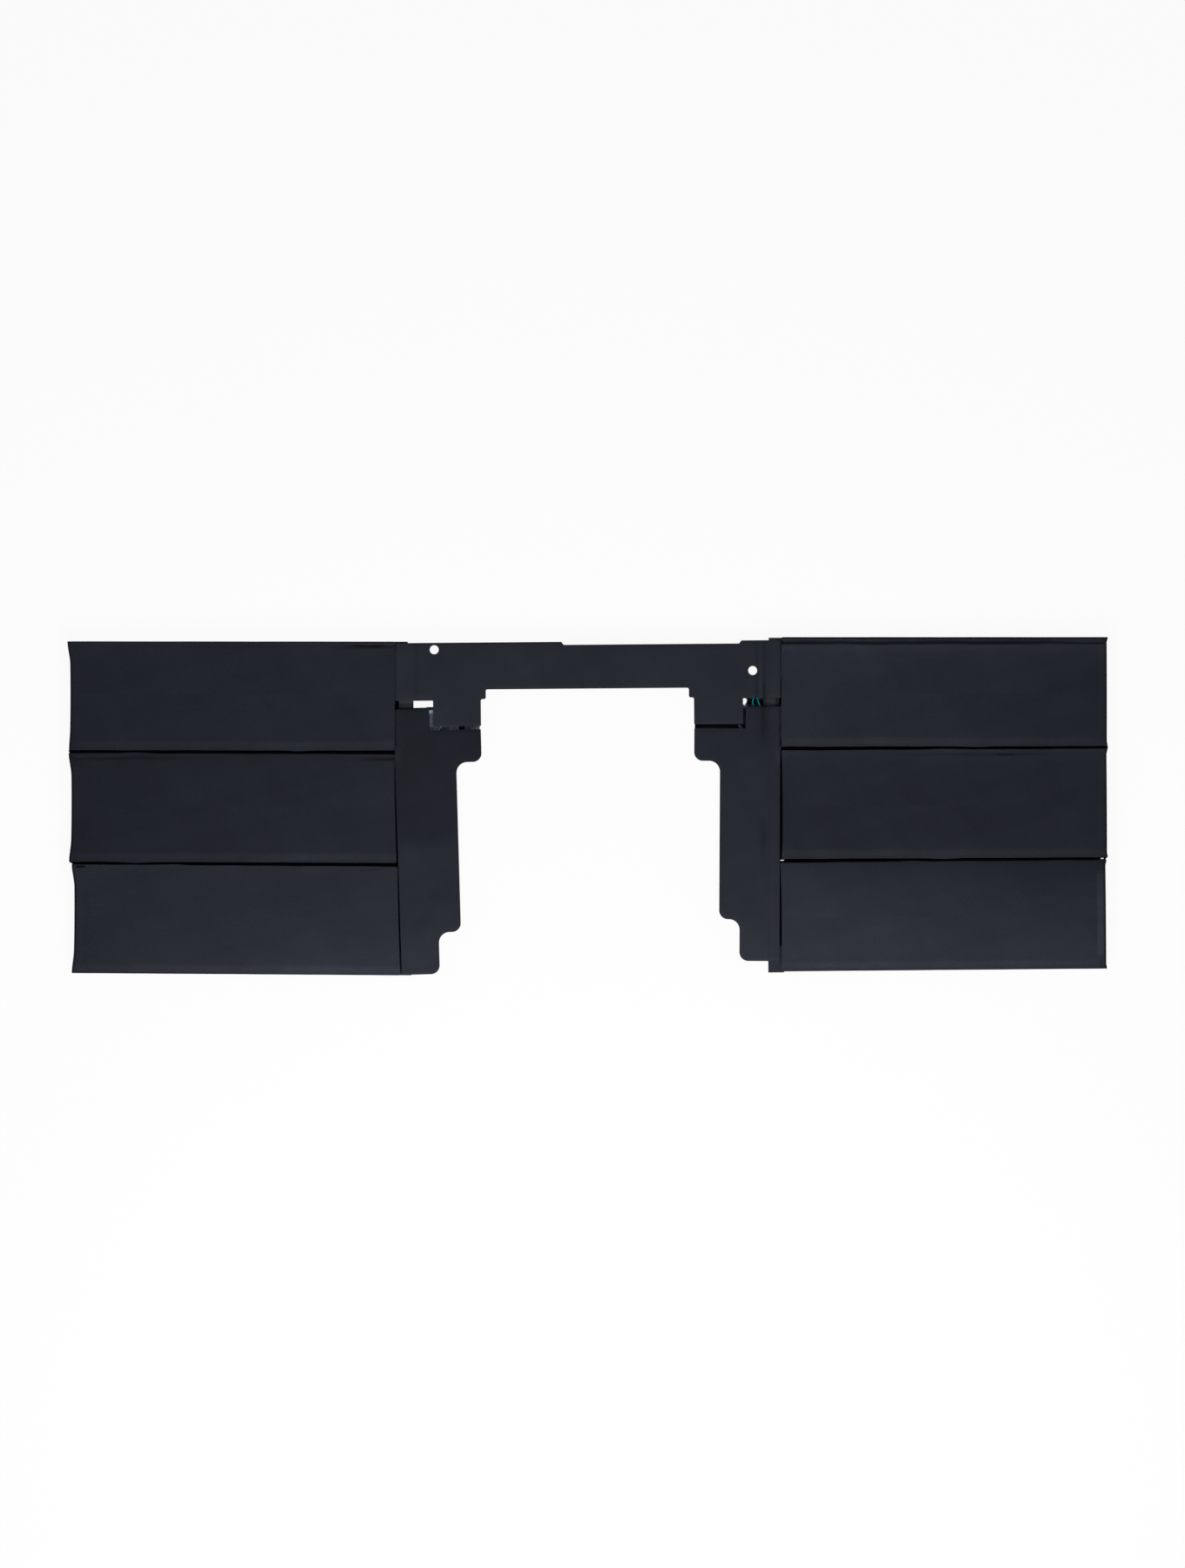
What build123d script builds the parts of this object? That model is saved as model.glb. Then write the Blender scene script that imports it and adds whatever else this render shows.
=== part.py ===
"""Slim laptop battery: two banks of three pouch cells, one bank each side of an open touchpad bay.

A film-covered protection board crosses behind the bay and a tab board runs down beside each bank.
The pack lies face up on the XY plane, +X to its right and +Y to its rear.
"""

import os
from math import cos, radians, sin

from build123d import *

# Pouch cells, in millimetres
cell_length = 90.5  # cup, from its inner end wall to its outer end
cell_width = 30.4  # over the folded side seams
cell_thickness = 4.8
cell_gap = 0.9  # between neighbours, at their inner ends
cup_top_radius = 0.7
cup_bottom_radius = 0.8
cup_corner_radius = 1.0  # in plan
outer_end_bow = 0.3  # how far the outer end is drawn in at its middle
seam_thickness = 1.4  # side seam, folded double against the cup
seam_bite = 0.3  # how far the seam is pressed into the cup's side
seam_bottom = 0.5
seam_drop = 0.15  # seam's top edge below the cell's top face
seam_round = 0.4
ear_reach = 0.65  # pinched corner of the pouch past the outer end
ear_span = 2.6  # along the end
ear_height = 2.4
ear_round = 0.3
seal_height = 3.2  # middle of the flat end seal, above the table
seal_thickness = 0.3
seal_length = 3.6
seal_corner_radius = 0.5

# How the cells lie in this pack, in millimetres and degrees
bank_spacing = 107.6  # between the inner end walls of the two rear cells
bank_centre = {"left": -0.62, "right": 0.47}
cell_shift = {
    "left": {"rear": -0.2, "middle": 0.1, "front": 0.9},
    "right": {"rear": 0.0, "middle": 0.0, "front": -0.25},
}
cell_tilt = {
    "left": {"rear": -0.05, "middle": -0.2, "front": -0.4},
    "right": {"rear": 0.1, "middle": 0.3, "front": 0.5},
}

# Foam strips that hold neighbouring cells apart, set in from the cells' inner and outer ends
gap_strip_bottom = 1.0
gap_strip_height = 2.0
gap_strip_setback = {
    "left": {"rear": (-1.0, -0.5), "front": (-1.0, -0.5)},
    "right": {"rear": (-1.0, -0.5), "front": (1.3, 1.5)},
}

# Tabs and the plates they are welded to
tab_width = 5.0
tab_thickness = 0.1
tab_margin = 4.7  # from a cell's side to its nearer tab
tab_reach = 2.8  # past the end seal
tab_bury = 2.0  # inside the end seal
weld_plate_margin = 0.3  # plate's edge past the tab on each side
weld_plate_setback = 0.3  # from the end seal

# Boards, films and tapes
board_thickness = 0.8
board_inset = 0.5  # film overhang all round a board
board_corner_radius = 0.6  # at least, before the inset
film_thickness = 0.12
tape_thickness = 0.1
film_clearance = {"left": 0.2, "right": 0.4}  # from a cell's end wall
back_film_clearance = 0.5  # from a cell's end seal
locating_hole_radius = 1.25

# Bar across the rear: its edges from its own middle line, its features in from the end walls
bar_middle_y = 38.95
bar_tilt = 0.46
bar_clearance = 0.2  # from the rear cells' end walls
bar_rear = 6.92
bar_front = 6.16
bar_corner_radius = 0.2
rear_notch_depth = 0.85
rear_notch_reach = {"left": 46.9, "right": 11.8}
rear_notch_slant = 0.6
rear_notch_radius = 0.4
bay_reach = {"left": 25.1, "right": 25.9}
bay_corner_radius = 0.5
tongue_reach = {"left": 23.7, "right": 24.5}
tongue_step = 8.85  # in front of the bar's middle line
tongue_end = 16.35
tongue_radius = 0.2
shoulder_front = 9.2
locating_hole_reach = {"left": 10.85, "right": 8.1}
locating_hole_rear = {"left": 5.0, "right": -1.5}

# Slits between the bar and the wings
slot_gap = {"left": 2.5, "right": 1.85}  # between a shoulder of the bar and the wing's rear edge
slit_side_gap = {"left": 0.9, "right": 0.86}
slit_front_gap = {"left": 1.8, "right": 0.95}  # in front of a tongue, before the wing's tilt

# Wings beside the banks, measured in from the end walls and forward from the wing's rear edge
wing_tilt = {"left": 1.6, "right": -0.3}
wing_flare = {"left": 0.75, "right": 0.0}  # extra clearance from the end wall at the wing's front end
wing_slit_side = {"left": 9.5, "right": 10.0}
wing_shoulder_reach = {"left": 23.8, "right": 24.3}
wing_shoulder_front = {"left": 15.5, "right": 15.35}
wing_reach = {"left": 16.7, "right": 17.1}
wing_step_front = {"left": 62.7, "right": 59.45}
wing_end_reach = {"left": 10.5, "right": 11.4}
wing_end_front = {"left": 74.3, "right": 71.05}
wing_outer_radius = 2.4
wing_inner_radius = 3.0
wing_slit_radius = 0.2

# Ribbons and leads that cross the slits, and the tapes that bridge them
link_width = 4.3
link_thickness = 0.1
link_clearance = 0.6  # from the rear cell's end wall
link_overlap = 3.0  # onto each board
lead_diameter = 0.36
lead_gap = 0.03  # from each board's plated edge
lead_starts = {"inner": (7.6, 7.6), "outer": (6.9, 5.8)}  # in from the end wall, at the bar and at the wing
lead_bow = {"inner": 0.5, "outer": 0.12}
bridge_overlap = 0.9
bridge_setback = 0.1  # from the edge of the wing's shoulder
bridge_lap = 0.4  # left bridge, behind its wing

# Protection circuit on the underside of the board
chip_lead_gap = 0.02
circuit = {
    "gauge_chip": {"at": (-8.5, 0.3), "size": (4.0, 4.0, 0.75)},
    "charge_switch": {"at": (-17.0, 0.3), "size": (3.3, 3.3, 0.8)},
    "discharge_switch": {"at": (-22.5, 0.3), "size": (3.3, 3.3, 0.8)},
    "pack_fuse": {"at": (-29.5, 0.3), "size": (5.0, 3.2, 0.9)},
    "current_shunt": {"at": (-0.5, 0.3), "size": (6.3, 3.2, 0.6)},
}
chip_edge = 0.15
cover_margin = 1.2  # inside of the cover, past the circuit
cover_wall = 0.25
cover_room = 0.3  # under the tallest of the circuit
cover_flange = 1.2
cover_radius = 1.0
thermistor_at = (7.5, 30.0)  # in from the end wall and forward, on the left wing
thermistor_size = (1.6, 0.8, 0.6)
window_margin = 0.5

# Output socket on the underside, behind the rear notch
socket_at = (17.6, 2.7)
socket_length = 14.0
socket_width = 4.4
socket_height = 1.7
socket_wall = 0.8
socket_floor = 0.6
socket_corner_radius = 0.4
key_width = 0.9
contact_count = 8
contact_pitch = 1.25
contact_width = 0.5
contact_thickness = 0.15
contact_height = 0.8

SIDES = ("left", "right")
ROWS = ("rear", "middle", "front")

outward = {"left": -1, "right": 1}
row_step = {"rear": 1, "middle": 0, "front": -1}
cell_pitch = cell_width + cell_gap
tab_spacing = cell_width - 2 * tab_margin - tab_width
wing_rear_y = {s: bar_middle_y - shoulder_front - slot_gap[s] for s in SIDES}
wing_slit_front = {s: tongue_end - shoulder_front - slot_gap[s] + slit_front_gap[s] for s in SIDES}
seam_top = cell_thickness - seam_drop
cup_half_width = cell_width / 2 - seam_thickness + seam_bite

seal_bottom = seal_height - seal_thickness / 2
board_bottom = seal_height + seal_thickness / 2
board_top = board_bottom + board_thickness
cover_film_bottom = board_top + link_thickness
tab_bottom = seal_height - tab_thickness / 2
tab_top = seal_height + tab_thickness / 2
back_film_bottom = tab_bottom - film_thickness


def end_wall_x(side, row):
    """Where the inner end wall of a cell stands, across the pack."""
    return outward[side] * bank_spacing / 2 + cell_shift[side][row]


def cell_plane(side, row):
    """Table plane under a cell's inner end wall, with X running out along the cell."""
    angle = radians(cell_tilt[side][row])
    heading = outward[side]
    return Plane(
        origin=(end_wall_x(side, row), bank_centre[side] + row_step[row] * cell_pitch, 0),
        x_dir=(heading * cos(angle), heading * sin(angle), 0),
        z_dir=(0, 0, 1),
    )


def tilted_plane(x, y, tilt):
    """Table plane at a point, turned about the vertical."""
    return Plane(origin=(x, y, 0), x_dir=(cos(radians(tilt)), sin(radians(tilt)), 0), z_dir=(0, 0, 1))


def from_wall(side, reach):
    """Place along the bar, measured in from the end wall of a rear cell."""
    return outward[side] * (bank_spacing / 2 - reach)


bar_plane = tilted_plane(0, bar_middle_y, bar_tilt)
wing_plane = {s: tilted_plane(end_wall_x(s, "rear"), wing_rear_y[s], wing_tilt[s]) for s in SIDES}


def bar_outline(clearance):
    """Corners of the bar with its two tongues and the radius at each; its ends clear the end walls."""
    notch_floor = bar_rear - rear_notch_depth
    halves = {}
    for side in SIDES:
        end = end_wall_x(side, "rear") - outward[side] * clearance
        notch = from_wall(side, rear_notch_reach[side])
        tongue_outer = from_wall(side, wing_slit_side[side] + slit_side_gap[side])
        tongue_inner = from_wall(side, tongue_reach[side])
        bay = from_wall(side, bay_reach[side])
        halves[side] = [
            (notch, notch_floor, rear_notch_radius),
            (notch + outward[side] * rear_notch_slant, bar_rear, rear_notch_radius),
            (end, bar_rear, bar_corner_radius),
            (end, -shoulder_front, bar_corner_radius),
            (tongue_outer, -shoulder_front, bar_corner_radius),
            (tongue_outer, -tongue_end, tongue_radius),
            (tongue_inner, -tongue_end, tongue_radius),
            (tongue_inner, -tongue_step, bay_corner_radius),
            (bay, -tongue_step, bay_corner_radius),
            (bay, -bar_front, bay_corner_radius),
        ]
    return halves["right"] + halves["left"][::-1]


def wing_outline(side, clearance):
    """Corners of a wing and the radius at each; its outer edge keeps clear of the end walls."""
    inward = -outward[side]
    lean = sin(radians(wing_tilt[side])) * wing_end_front[side]
    walls = inward * (end_wall_x(side, "front") - end_wall_x(side, "rear"))
    outer_front = clearance + walls + wing_flare[side] - inward * lean
    corners = [
        (clearance, 0, bar_corner_radius),
        (wing_slit_side[side], 0, wing_slit_radius),
        (wing_slit_side[side], wing_slit_front[side], wing_slit_radius),
        (wing_shoulder_reach[side], wing_slit_front[side], wing_slit_radius),
        (wing_shoulder_reach[side], wing_shoulder_front[side], wing_outer_radius),
        (wing_reach[side], wing_shoulder_front[side], wing_inner_radius),
        (wing_reach[side], wing_step_front[side], wing_outer_radius),
        (wing_end_reach[side], wing_step_front[side], wing_inner_radius),
        (wing_end_reach[side], wing_end_front[side], wing_outer_radius),
        (outer_front, wing_end_front[side], bar_corner_radius),
    ]
    return [(inward * reach, -forward, radius) for reach, forward, radius in corners]


def sheet(plane, outline, thickness, inset=0.0, holes=(), windows=()):
    """Flat sheet on a plane, drawn in by the inset, with locating holes and rectangular windows."""
    least = board_corner_radius if inset else 0.0
    corners = [(x, y) for x, y, radius in outline]
    radii = [max(radius, least) for x, y, radius in outline]
    with BuildPart() as flat:
        with BuildSketch(plane):
            with BuildLine():
                FilletPolyline(*corners, radius=radii, close=True)
            make_face()
            if inset:
                offset(amount=-inset)
            for hole in holes:
                with Locations(hole):
                    Circle(locating_hole_radius, mode=Mode.SUBTRACT)
            for x, y, length, width in windows:
                with Locations((x, y)):
                    Rectangle(length, width, mode=Mode.SUBTRACT)
        extrude(amount=thickness)
    return flat


def pouch_cell(side, row):
    """Sealed pouch cell: drawn cup, folded side seams, pinched outer corners and flat end seal."""
    base = cell_plane(side, row)
    across = Plane(origin=base.origin, x_dir=base.y_dir, z_dir=base.x_dir)
    half = cup_half_width
    with BuildPart() as cell:
        with BuildSketch(base):
            with BuildLine():
                Polyline((cell_length, -half), (0, -half), (0, half), (cell_length, half))
                ThreePointArc((cell_length, half), (cell_length - outer_end_bow, 0), (cell_length, -half))
            cup_plan = make_face()
            fillet(cup_plan.vertices(), cup_corner_radius)
        extrude(amount=cell_thickness)
        fillet(cell.faces().sort_by(Axis.Z)[-1].edges(), cup_top_radius)
        fillet(cell.faces().sort_by(Axis.Z)[0].edges(), cup_bottom_radius)
        for edge in (-1, 1):
            with BuildSketch(across):
                with Locations((edge * (cell_width - seam_thickness) / 2, (seam_bottom + seam_top) / 2)):
                    RectangleRounded(seam_thickness, seam_top - seam_bottom, seam_round)
            extrude(amount=cell_length)
            with BuildSketch(base.offset((cell_thickness - ear_height) / 2)):
                with BuildLine():
                    FilletPolyline(
                        (cell_length - ear_span, edge * (cell_width / 2)),
                        (cell_length + ear_reach, edge * (cell_width / 2)),
                        (cell_length + ear_reach, edge * (cell_width / 2 - seam_thickness)),
                        (cell_length - outer_end_bow, edge * (cell_width / 2 - ear_span)),
                        (cell_length - ear_span, edge * (cell_width / 2 - ear_span)),
                        radius=[0, ear_round, ear_round, 0, 0],
                        close=True,
                    )
                make_face()
            extrude(amount=ear_height)
        with BuildSketch(base.offset(seal_bottom)):
            with Locations((-seal_length, 0)):
                RectangleRounded(
                    seal_length + cup_top_radius,
                    cell_width,
                    seal_corner_radius,
                    align=(Align.MIN, Align.CENTER),
                )
        extrude(amount=seal_thickness)
        with BuildSketch(base.offset(tab_bottom)):
            for edge in (-1, 1):
                with Locations((-seal_length, edge * tab_spacing / 2)):
                    Rectangle(2 * tab_bury, tab_width)
        extrude(amount=tab_thickness, mode=Mode.SUBTRACT)
    return cell


def gap_strip(side, row):
    """Foam strip between the side seams of the middle cell and of the one behind it or in front of it."""
    behind, ahead = ("rear", "middle") if row == "rear" else ("middle", "front")
    inner_setback, outer_setback = gap_strip_setback[side][row]
    front_edge = -outward[side] * cell_width / 2
    ends = (inner_setback, cell_length - outer_setback)
    corners = [cell_plane(side, behind).from_local_coords((x, front_edge, 0)) for x in ends]
    corners += [cell_plane(side, ahead).from_local_coords((x, -front_edge, 0)) for x in reversed(ends)]
    with BuildPart() as strip:
        with BuildSketch(Plane.XY.offset(gap_strip_bottom)):
            with BuildLine():
                Polyline(*[(corner.X, corner.Y) for corner in corners], close=True)
            make_face()
        extrude(amount=gap_strip_height)
    return strip


def cell_tab(side, row, edge):
    """Strip that leaves the end seal of a cell, one each side of its middle line."""
    with BuildPart() as tab:
        with BuildSketch(cell_plane(side, row).offset(tab_bottom)):
            with Locations((-seal_length + tab_bury, edge * tab_spacing / 2)):
                Rectangle(tab_bury + tab_reach, tab_width, align=(Align.MAX, Align.CENTER))
        extrude(amount=tab_thickness)
    return tab


def weld_plate(side, row, edge):
    """Plate under a board that a tab is welded to."""
    length = tab_reach - weld_plate_setback
    with BuildPart() as plate:
        with BuildSketch(cell_plane(side, row).offset(tab_top)):
            with Locations((-seal_length - weld_plate_setback, edge * tab_spacing / 2)):
                Rectangle(length, tab_width + 2 * weld_plate_margin, align=(Align.MAX, Align.CENTER))
        extrude(amount=board_bottom - tab_top)
    return plate


def board_part(plane, place, size):
    """Moulded component that hangs under a board, its lower edges broken."""
    with BuildPart() as body:
        with BuildSketch(plane.offset(board_bottom - chip_lead_gap)):
            with Locations(place):
                Rectangle(size[0], size[1])
        extrude(amount=-size[2])
        chamfer(body.faces().sort_by(Axis.Z)[0].edges(), chip_edge)
    return body


def link_ribbon(side):
    """Flat ribbon that joins the bar's board to a wing's board over the rear cell's end seal."""
    rear = bar_middle_y - shoulder_front + link_overlap
    front = wing_rear_y[side] - link_overlap
    outer = outward[side] * (bank_spacing / 2 - link_clearance)
    inner = outer - outward[side] * link_width
    with BuildPart() as ribbon:
        with BuildSketch(Plane.XY.offset(board_top)):
            with Locations(((outer + inner) / 2, (rear + front) / 2)):
                Rectangle(link_width, rear - front)
        extrude(amount=link_thickness)
    return ribbon


def bridge_tape(side, outer, rear):
    """Tape under the back films that closes the slit between a tongue and a wing."""
    inner = abs(end_wall_x(side, "rear")) - wing_shoulder_reach[side] + bridge_setback
    front = wing_rear_y[side] - wing_slit_front[side] - bridge_overlap
    with BuildPart() as tape:
        with BuildSketch(Plane.XY.offset(back_film_bottom - tape_thickness)):
            with Locations((outward[side] * (outer + inner) / 2, (rear + front) / 2)):
                Rectangle(outer - inner, rear - front)
        extrude(amount=tape_thickness)
    return tape


def sense_lead(place):
    """Thin insulated lead that crosses the right slit between the boards' plated edges."""
    wall = bank_spacing / 2
    middle = board_bottom + board_thickness / 2
    at_bar, at_wing = lead_starts[place]
    rear = bar_middle_y - shoulder_front + board_inset + sin(radians(bar_tilt)) * (wall - at_bar) - lead_gap
    front = wing_rear_y["right"] - board_inset - sin(radians(wing_tilt["right"])) * at_wing + lead_gap
    with BuildPart() as lead:
        with BuildLine() as route:
            ThreePointArc(
                (wall - at_bar, rear, middle),
                (wall - (at_bar + at_wing) / 2 - lead_bow[place], (rear + front) / 2, middle),
                (wall - at_wing, front, middle),
            )
        with BuildSketch(Plane(origin=route.line @ 0, z_dir=route.line % 0)):
            Circle(lead_diameter / 2)
        sweep()
    return lead


def save(piece, name):
    """Label a finished piece and write it."""
    piece.part.label = name
    export_step(piece.part, f"parts/{name}.step")


os.makedirs("parts", exist_ok=True)

for side in SIDES:
    for row in ROWS:
        save(pouch_cell(side, row), f"cell_{side}_{row}")
        for pole, edge in (("positive", 1), ("negative", -1)):
            save(cell_tab(side, row, edge), f"{pole}_tab_{side}_{row}")
            save(weld_plate(side, row, edge), f"{pole}_weld_plate_{side}_{row}")
    for row in ("rear", "front"):
        save(gap_strip(side, row), f"gap_strip_{side}_{row}")

# Bar: board, top film and back film
bar_holes = [(from_wall(s, locating_hole_reach[s]), locating_hole_rear[s]) for s in SIDES]
circuit_left = min(c["at"][0] - c["size"][0] / 2 for c in circuit.values()) - cover_margin
circuit_right = max(c["at"][0] + c["size"][0] / 2 for c in circuit.values()) + cover_margin
circuit_front = min(c["at"][1] - c["size"][1] / 2 for c in circuit.values()) - cover_margin
circuit_rear = max(c["at"][1] + c["size"][1] / 2 for c in circuit.values()) + cover_margin
cover_middle = ((circuit_left + circuit_right) / 2, (circuit_front + circuit_rear) / 2)
cover_length = circuit_right - circuit_left
cover_width = circuit_rear - circuit_front
cover_depth = max(c["size"][2] for c in circuit.values()) + cover_room - (board_bottom - back_film_bottom)
bar_windows = [
    (*cover_middle, cover_length, cover_width),
    (*socket_at, socket_length + 2 * window_margin, socket_width + 2 * window_margin),
]
save(sheet(bar_plane.offset(board_bottom), bar_outline(bar_clearance), board_thickness,
           inset=board_inset, holes=bar_holes), "protection_board")
save(sheet(bar_plane.offset(cover_film_bottom), bar_outline(bar_clearance), film_thickness,
           holes=bar_holes), "bar_cover_film")
back_clearance = seal_length + back_film_clearance
save(sheet(bar_plane.offset(back_film_bottom), bar_outline(back_clearance), film_thickness,
           holes=bar_holes, windows=bar_windows), "bar_back_film")

# Wings: board, top film and back film on each side
thermistor_place = (thermistor_at[0], -thermistor_at[1])
thermistor_window = (
    *thermistor_place, thermistor_size[0] + 2 * window_margin, thermistor_size[1] + 2 * window_margin
)
wing_windows = {"left": [thermistor_window], "right": []}
for side in SIDES:
    outline = wing_outline(side, film_clearance[side])
    back_outline = wing_outline(side, back_clearance)
    save(sheet(wing_plane[side].offset(board_bottom), outline, board_thickness, inset=board_inset),
         f"{side}_tab_board")
    save(sheet(wing_plane[side].offset(cover_film_bottom), outline, film_thickness), f"{side}_cover_film")
    save(sheet(wing_plane[side].offset(back_film_bottom), back_outline, film_thickness,
               windows=wing_windows[side]), f"{side}_back_film")
    save(link_ribbon(side), f"{side}_link_ribbon")

# Left bridge stays in front of the open slot; the right one closes its slot as far as the ribbon
save(bridge_tape("left", bank_spacing / 2 - wing_slit_side["left"] + bridge_overlap,
                 wing_rear_y["left"] + bridge_lap), "left_bridge_tape")
save(bridge_tape("right", bank_spacing / 2 - link_clearance - link_width,
                 bar_middle_y - shoulder_front + bridge_overlap), "right_bridge_tape")
for place in lead_starts:
    save(sense_lead(place), f"{place}_sense_lead")

# Protection circuit and its formed cover
for name, item in circuit.items():
    save(board_part(bar_plane, item["at"], item["size"]), name)
save(board_part(wing_plane["left"], thermistor_place, thermistor_size), "thermistor")

with BuildPart() as circuit_cover:
    with BuildSketch(bar_plane.offset(back_film_bottom)):
        with Locations(cover_middle):
            RectangleRounded(cover_length + 2 * cover_wall, cover_width + 2 * cover_wall, cover_radius)
    extrude(amount=-cover_depth - cover_wall)
    fillet(circuit_cover.faces().sort_by(Axis.Z)[0].edges(), cover_wall * 2)
    with BuildSketch(bar_plane.offset(back_film_bottom)):
        with Locations(cover_middle):
            RectangleRounded(cover_length + 2 * cover_flange, cover_width + 2 * cover_flange, cover_radius)
    extrude(amount=-cover_wall)
    with BuildSketch(bar_plane.offset(back_film_bottom)):
        with Locations(cover_middle):
            RectangleRounded(cover_length, cover_width, cover_radius - cover_wall)
    extrude(amount=-cover_depth, mode=Mode.SUBTRACT)
save(circuit_cover, "circuit_cover")

# Output socket: housing with a key in its well, and the contacts on both sides of the key
well_length = socket_length - 2 * socket_wall
well_width = socket_width - 2 * socket_wall
key_length = well_length - 2 * socket_wall
socket_bottom = board_bottom - socket_height
with BuildPart() as output_socket:
    with BuildSketch(bar_plane.offset(socket_bottom)):
        with Locations(socket_at):
            RectangleRounded(socket_length, socket_width, socket_corner_radius)
    extrude(amount=socket_height - chip_lead_gap)
    with BuildSketch(bar_plane.offset(socket_bottom)):
        with Locations(socket_at):
            Rectangle(well_length, well_width)
            Rectangle(key_length, key_width, mode=Mode.SUBTRACT)
    extrude(amount=socket_height - socket_floor, mode=Mode.SUBTRACT)
save(output_socket, "output_socket")

with BuildPart() as socket_contacts:
    for edge in (-1, 1):
        row_y = socket_at[1] + edge * (key_width + contact_thickness) / 2
        with BuildSketch(bar_plane.offset(board_bottom - socket_floor - contact_height)):
            with Locations((socket_at[0], row_y)):
                with GridLocations(contact_pitch, 0, contact_count, 1):
                    Rectangle(contact_width, contact_thickness)
        extrude(amount=contact_height)
save(socket_contacts, "socket_contacts")
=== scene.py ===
"""Looks of a slim laptop battery: two banks of pouch cells joined by film-covered boards."""

import math

import bmesh
import bpy
import numpy as np
from mathutils.geometry import delaunay_2d_cdt
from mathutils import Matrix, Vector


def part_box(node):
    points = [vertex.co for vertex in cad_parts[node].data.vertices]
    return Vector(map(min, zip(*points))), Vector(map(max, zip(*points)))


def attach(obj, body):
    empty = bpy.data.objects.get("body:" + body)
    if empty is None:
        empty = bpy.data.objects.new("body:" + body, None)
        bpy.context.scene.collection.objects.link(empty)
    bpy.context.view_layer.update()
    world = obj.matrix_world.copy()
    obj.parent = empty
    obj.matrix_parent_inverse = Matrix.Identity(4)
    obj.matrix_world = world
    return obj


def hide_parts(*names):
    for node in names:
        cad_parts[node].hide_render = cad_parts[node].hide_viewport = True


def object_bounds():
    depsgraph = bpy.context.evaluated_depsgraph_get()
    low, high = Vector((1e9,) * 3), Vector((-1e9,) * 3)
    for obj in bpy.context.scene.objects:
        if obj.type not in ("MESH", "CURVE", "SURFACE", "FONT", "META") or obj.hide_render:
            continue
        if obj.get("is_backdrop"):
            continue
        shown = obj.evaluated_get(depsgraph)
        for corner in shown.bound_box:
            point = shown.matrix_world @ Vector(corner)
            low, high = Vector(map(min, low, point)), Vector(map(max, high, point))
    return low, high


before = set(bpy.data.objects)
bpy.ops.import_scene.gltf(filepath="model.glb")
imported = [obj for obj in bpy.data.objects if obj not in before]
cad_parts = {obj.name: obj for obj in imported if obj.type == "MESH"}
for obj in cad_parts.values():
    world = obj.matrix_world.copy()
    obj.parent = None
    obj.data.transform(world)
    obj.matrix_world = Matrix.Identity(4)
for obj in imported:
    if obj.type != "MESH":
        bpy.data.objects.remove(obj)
cad_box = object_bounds()

bl_info = {
    "name": "Laptop battery looks",
    "version": (1, 0, 0),
    "blender": (4, 5, 0),
    "location": "View3D > Sidebar > Battery",
    "description": "Dresses a pouch-cell laptop battery and sets its stage",
    "category": "Object",
}

MM = 0.001
SIDES = ("left", "right")
ROWS = ("rear", "middle", "front")
# Painted light and shade on each cell, partly its own tone: its level, its change outward, forward and
# across both, its rear edge and its front edge.
CELL_LIGHT_AND_TONE = {
    "left": {
        "rear": (1.15, -0.05, -0.1, -0.1, 0.15, -0.05),
        "middle": (1.0, -0.1, -0.15, 0.0, -0.1, 0.05),
        "front": (1.15, -0.05, 0.05, -0.4, 0.15, 0.15),
    },
    "right": {
        "rear": (1.25, -0.25, -0.25, 0.1, 0.35, 0.15),
        "middle": (1.0, 0.05, -0.15, 0.05, 0.25, 0.15),
        "front": (1.3, -0.05, 0.35, 0.35, -0.2, -0.25),
    },
}
# Patches and marks, in millimetres: middle across and along, length, width, turn in degrees, strength. On
# the cells they are painted shade in creases and in one shadowed spot.
CELL_SHADE_MARKS = {
    "left": [(-141.6, -16.8, 2.2, 0.7, 0, 0.75), (-60.6, -17.7, 7.0, 0.25, 5, 0.4)],
    "right": [(116.4, 14.4, 5.0, 0.45, 1, 0.5), (116.4, 14.4, 8.0, 0.2, 1, 0.3)],
}
# Shallow grooves behind a cell: place and reach along it in millimetres, and depth beside the deep one. Each
# groove also gets painted shade in its trough and a painted highlight on its lip.
REAR_GROOVES = {
    ("left", "rear"): [(7, 6, 0.3), (55, 45, 0.04)],
    ("left", "middle"): [(0, 9, 0.2), (90, 26, 0.2)],
    ("right", "middle"): [(58, 20, 0.1)],
}
FILM_LIFT = {"bar": 1.18, "left": 1.05, "right": 1.18}
PLAIN_SHADE = 0.5
# Painted highlights and reflections on the gloss bridge tapes where they show in the slits.
TAPE_REFLECTIONS = {
    "left": [
        (-43.9, 26.3, 1.3, 1.0, 0, 0.95), (-44.1, 25.5, 0.4, 0.35, 20, 0.6),
        (-43.6, 25.2, 0.4, 0.35, -20, 0.5), (-44.0, 24.8, 0.5, 0.3, 10, 0.4),
        (-43.7, 23.6, 1.3, 4.4, 0, 0.26), (-43.1, 21.7, 2.4, 1.4, 0, 0.34),
        (-42.5, 21.75, 1.6, 0.35, 56, 0.45), (-41.5, 21.7, 1.7, 0.45, 52, 0.7),
        (-39.7, 21.75, 2.6, 1.2, 0, 0.19), (-37.5, 21.8, 2.6, 1.2, 0, 0.34),
        (-33.5, 21.8, 2.0, 1.2, 0, 0.17), (-32.2, 21.8, 1.8, 1.2, 0, 0.32),
        (-30.9, 21.8, 1.6, 1.2, 0, 0.6),
    ],
    "right": [
        (42.3, 22.2, 1.4, 0.36, -45, 0.45), (43.5, 27.5, 0.8, 0.25, 0, 0.2),
        (43.7, 28.1, 1.2, 0.4, 0, 0.8), (46.0, 28.3, 3.4, 0.2, 0, 0.15),
        (35.6, 22.1, 8.0, 0.5, 0, 0.01), (43.4, 25.1, 0.35, 4.0, 0, 0.015),
    ],
}
# Share of a wing film's shade left in the painted shadow along its rear edge.
REAR_EDGE_SHADOW = {"left": 0.0, "right": 0.3}
# Slant of a cell's inner end, in millimetres: drawn in at its rear corner, and change to its front corner.
INNER_SLANTS = {("left", "middle"): (0.43, -0.75), ("left", "front"): (0.38, -1.0)}
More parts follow.
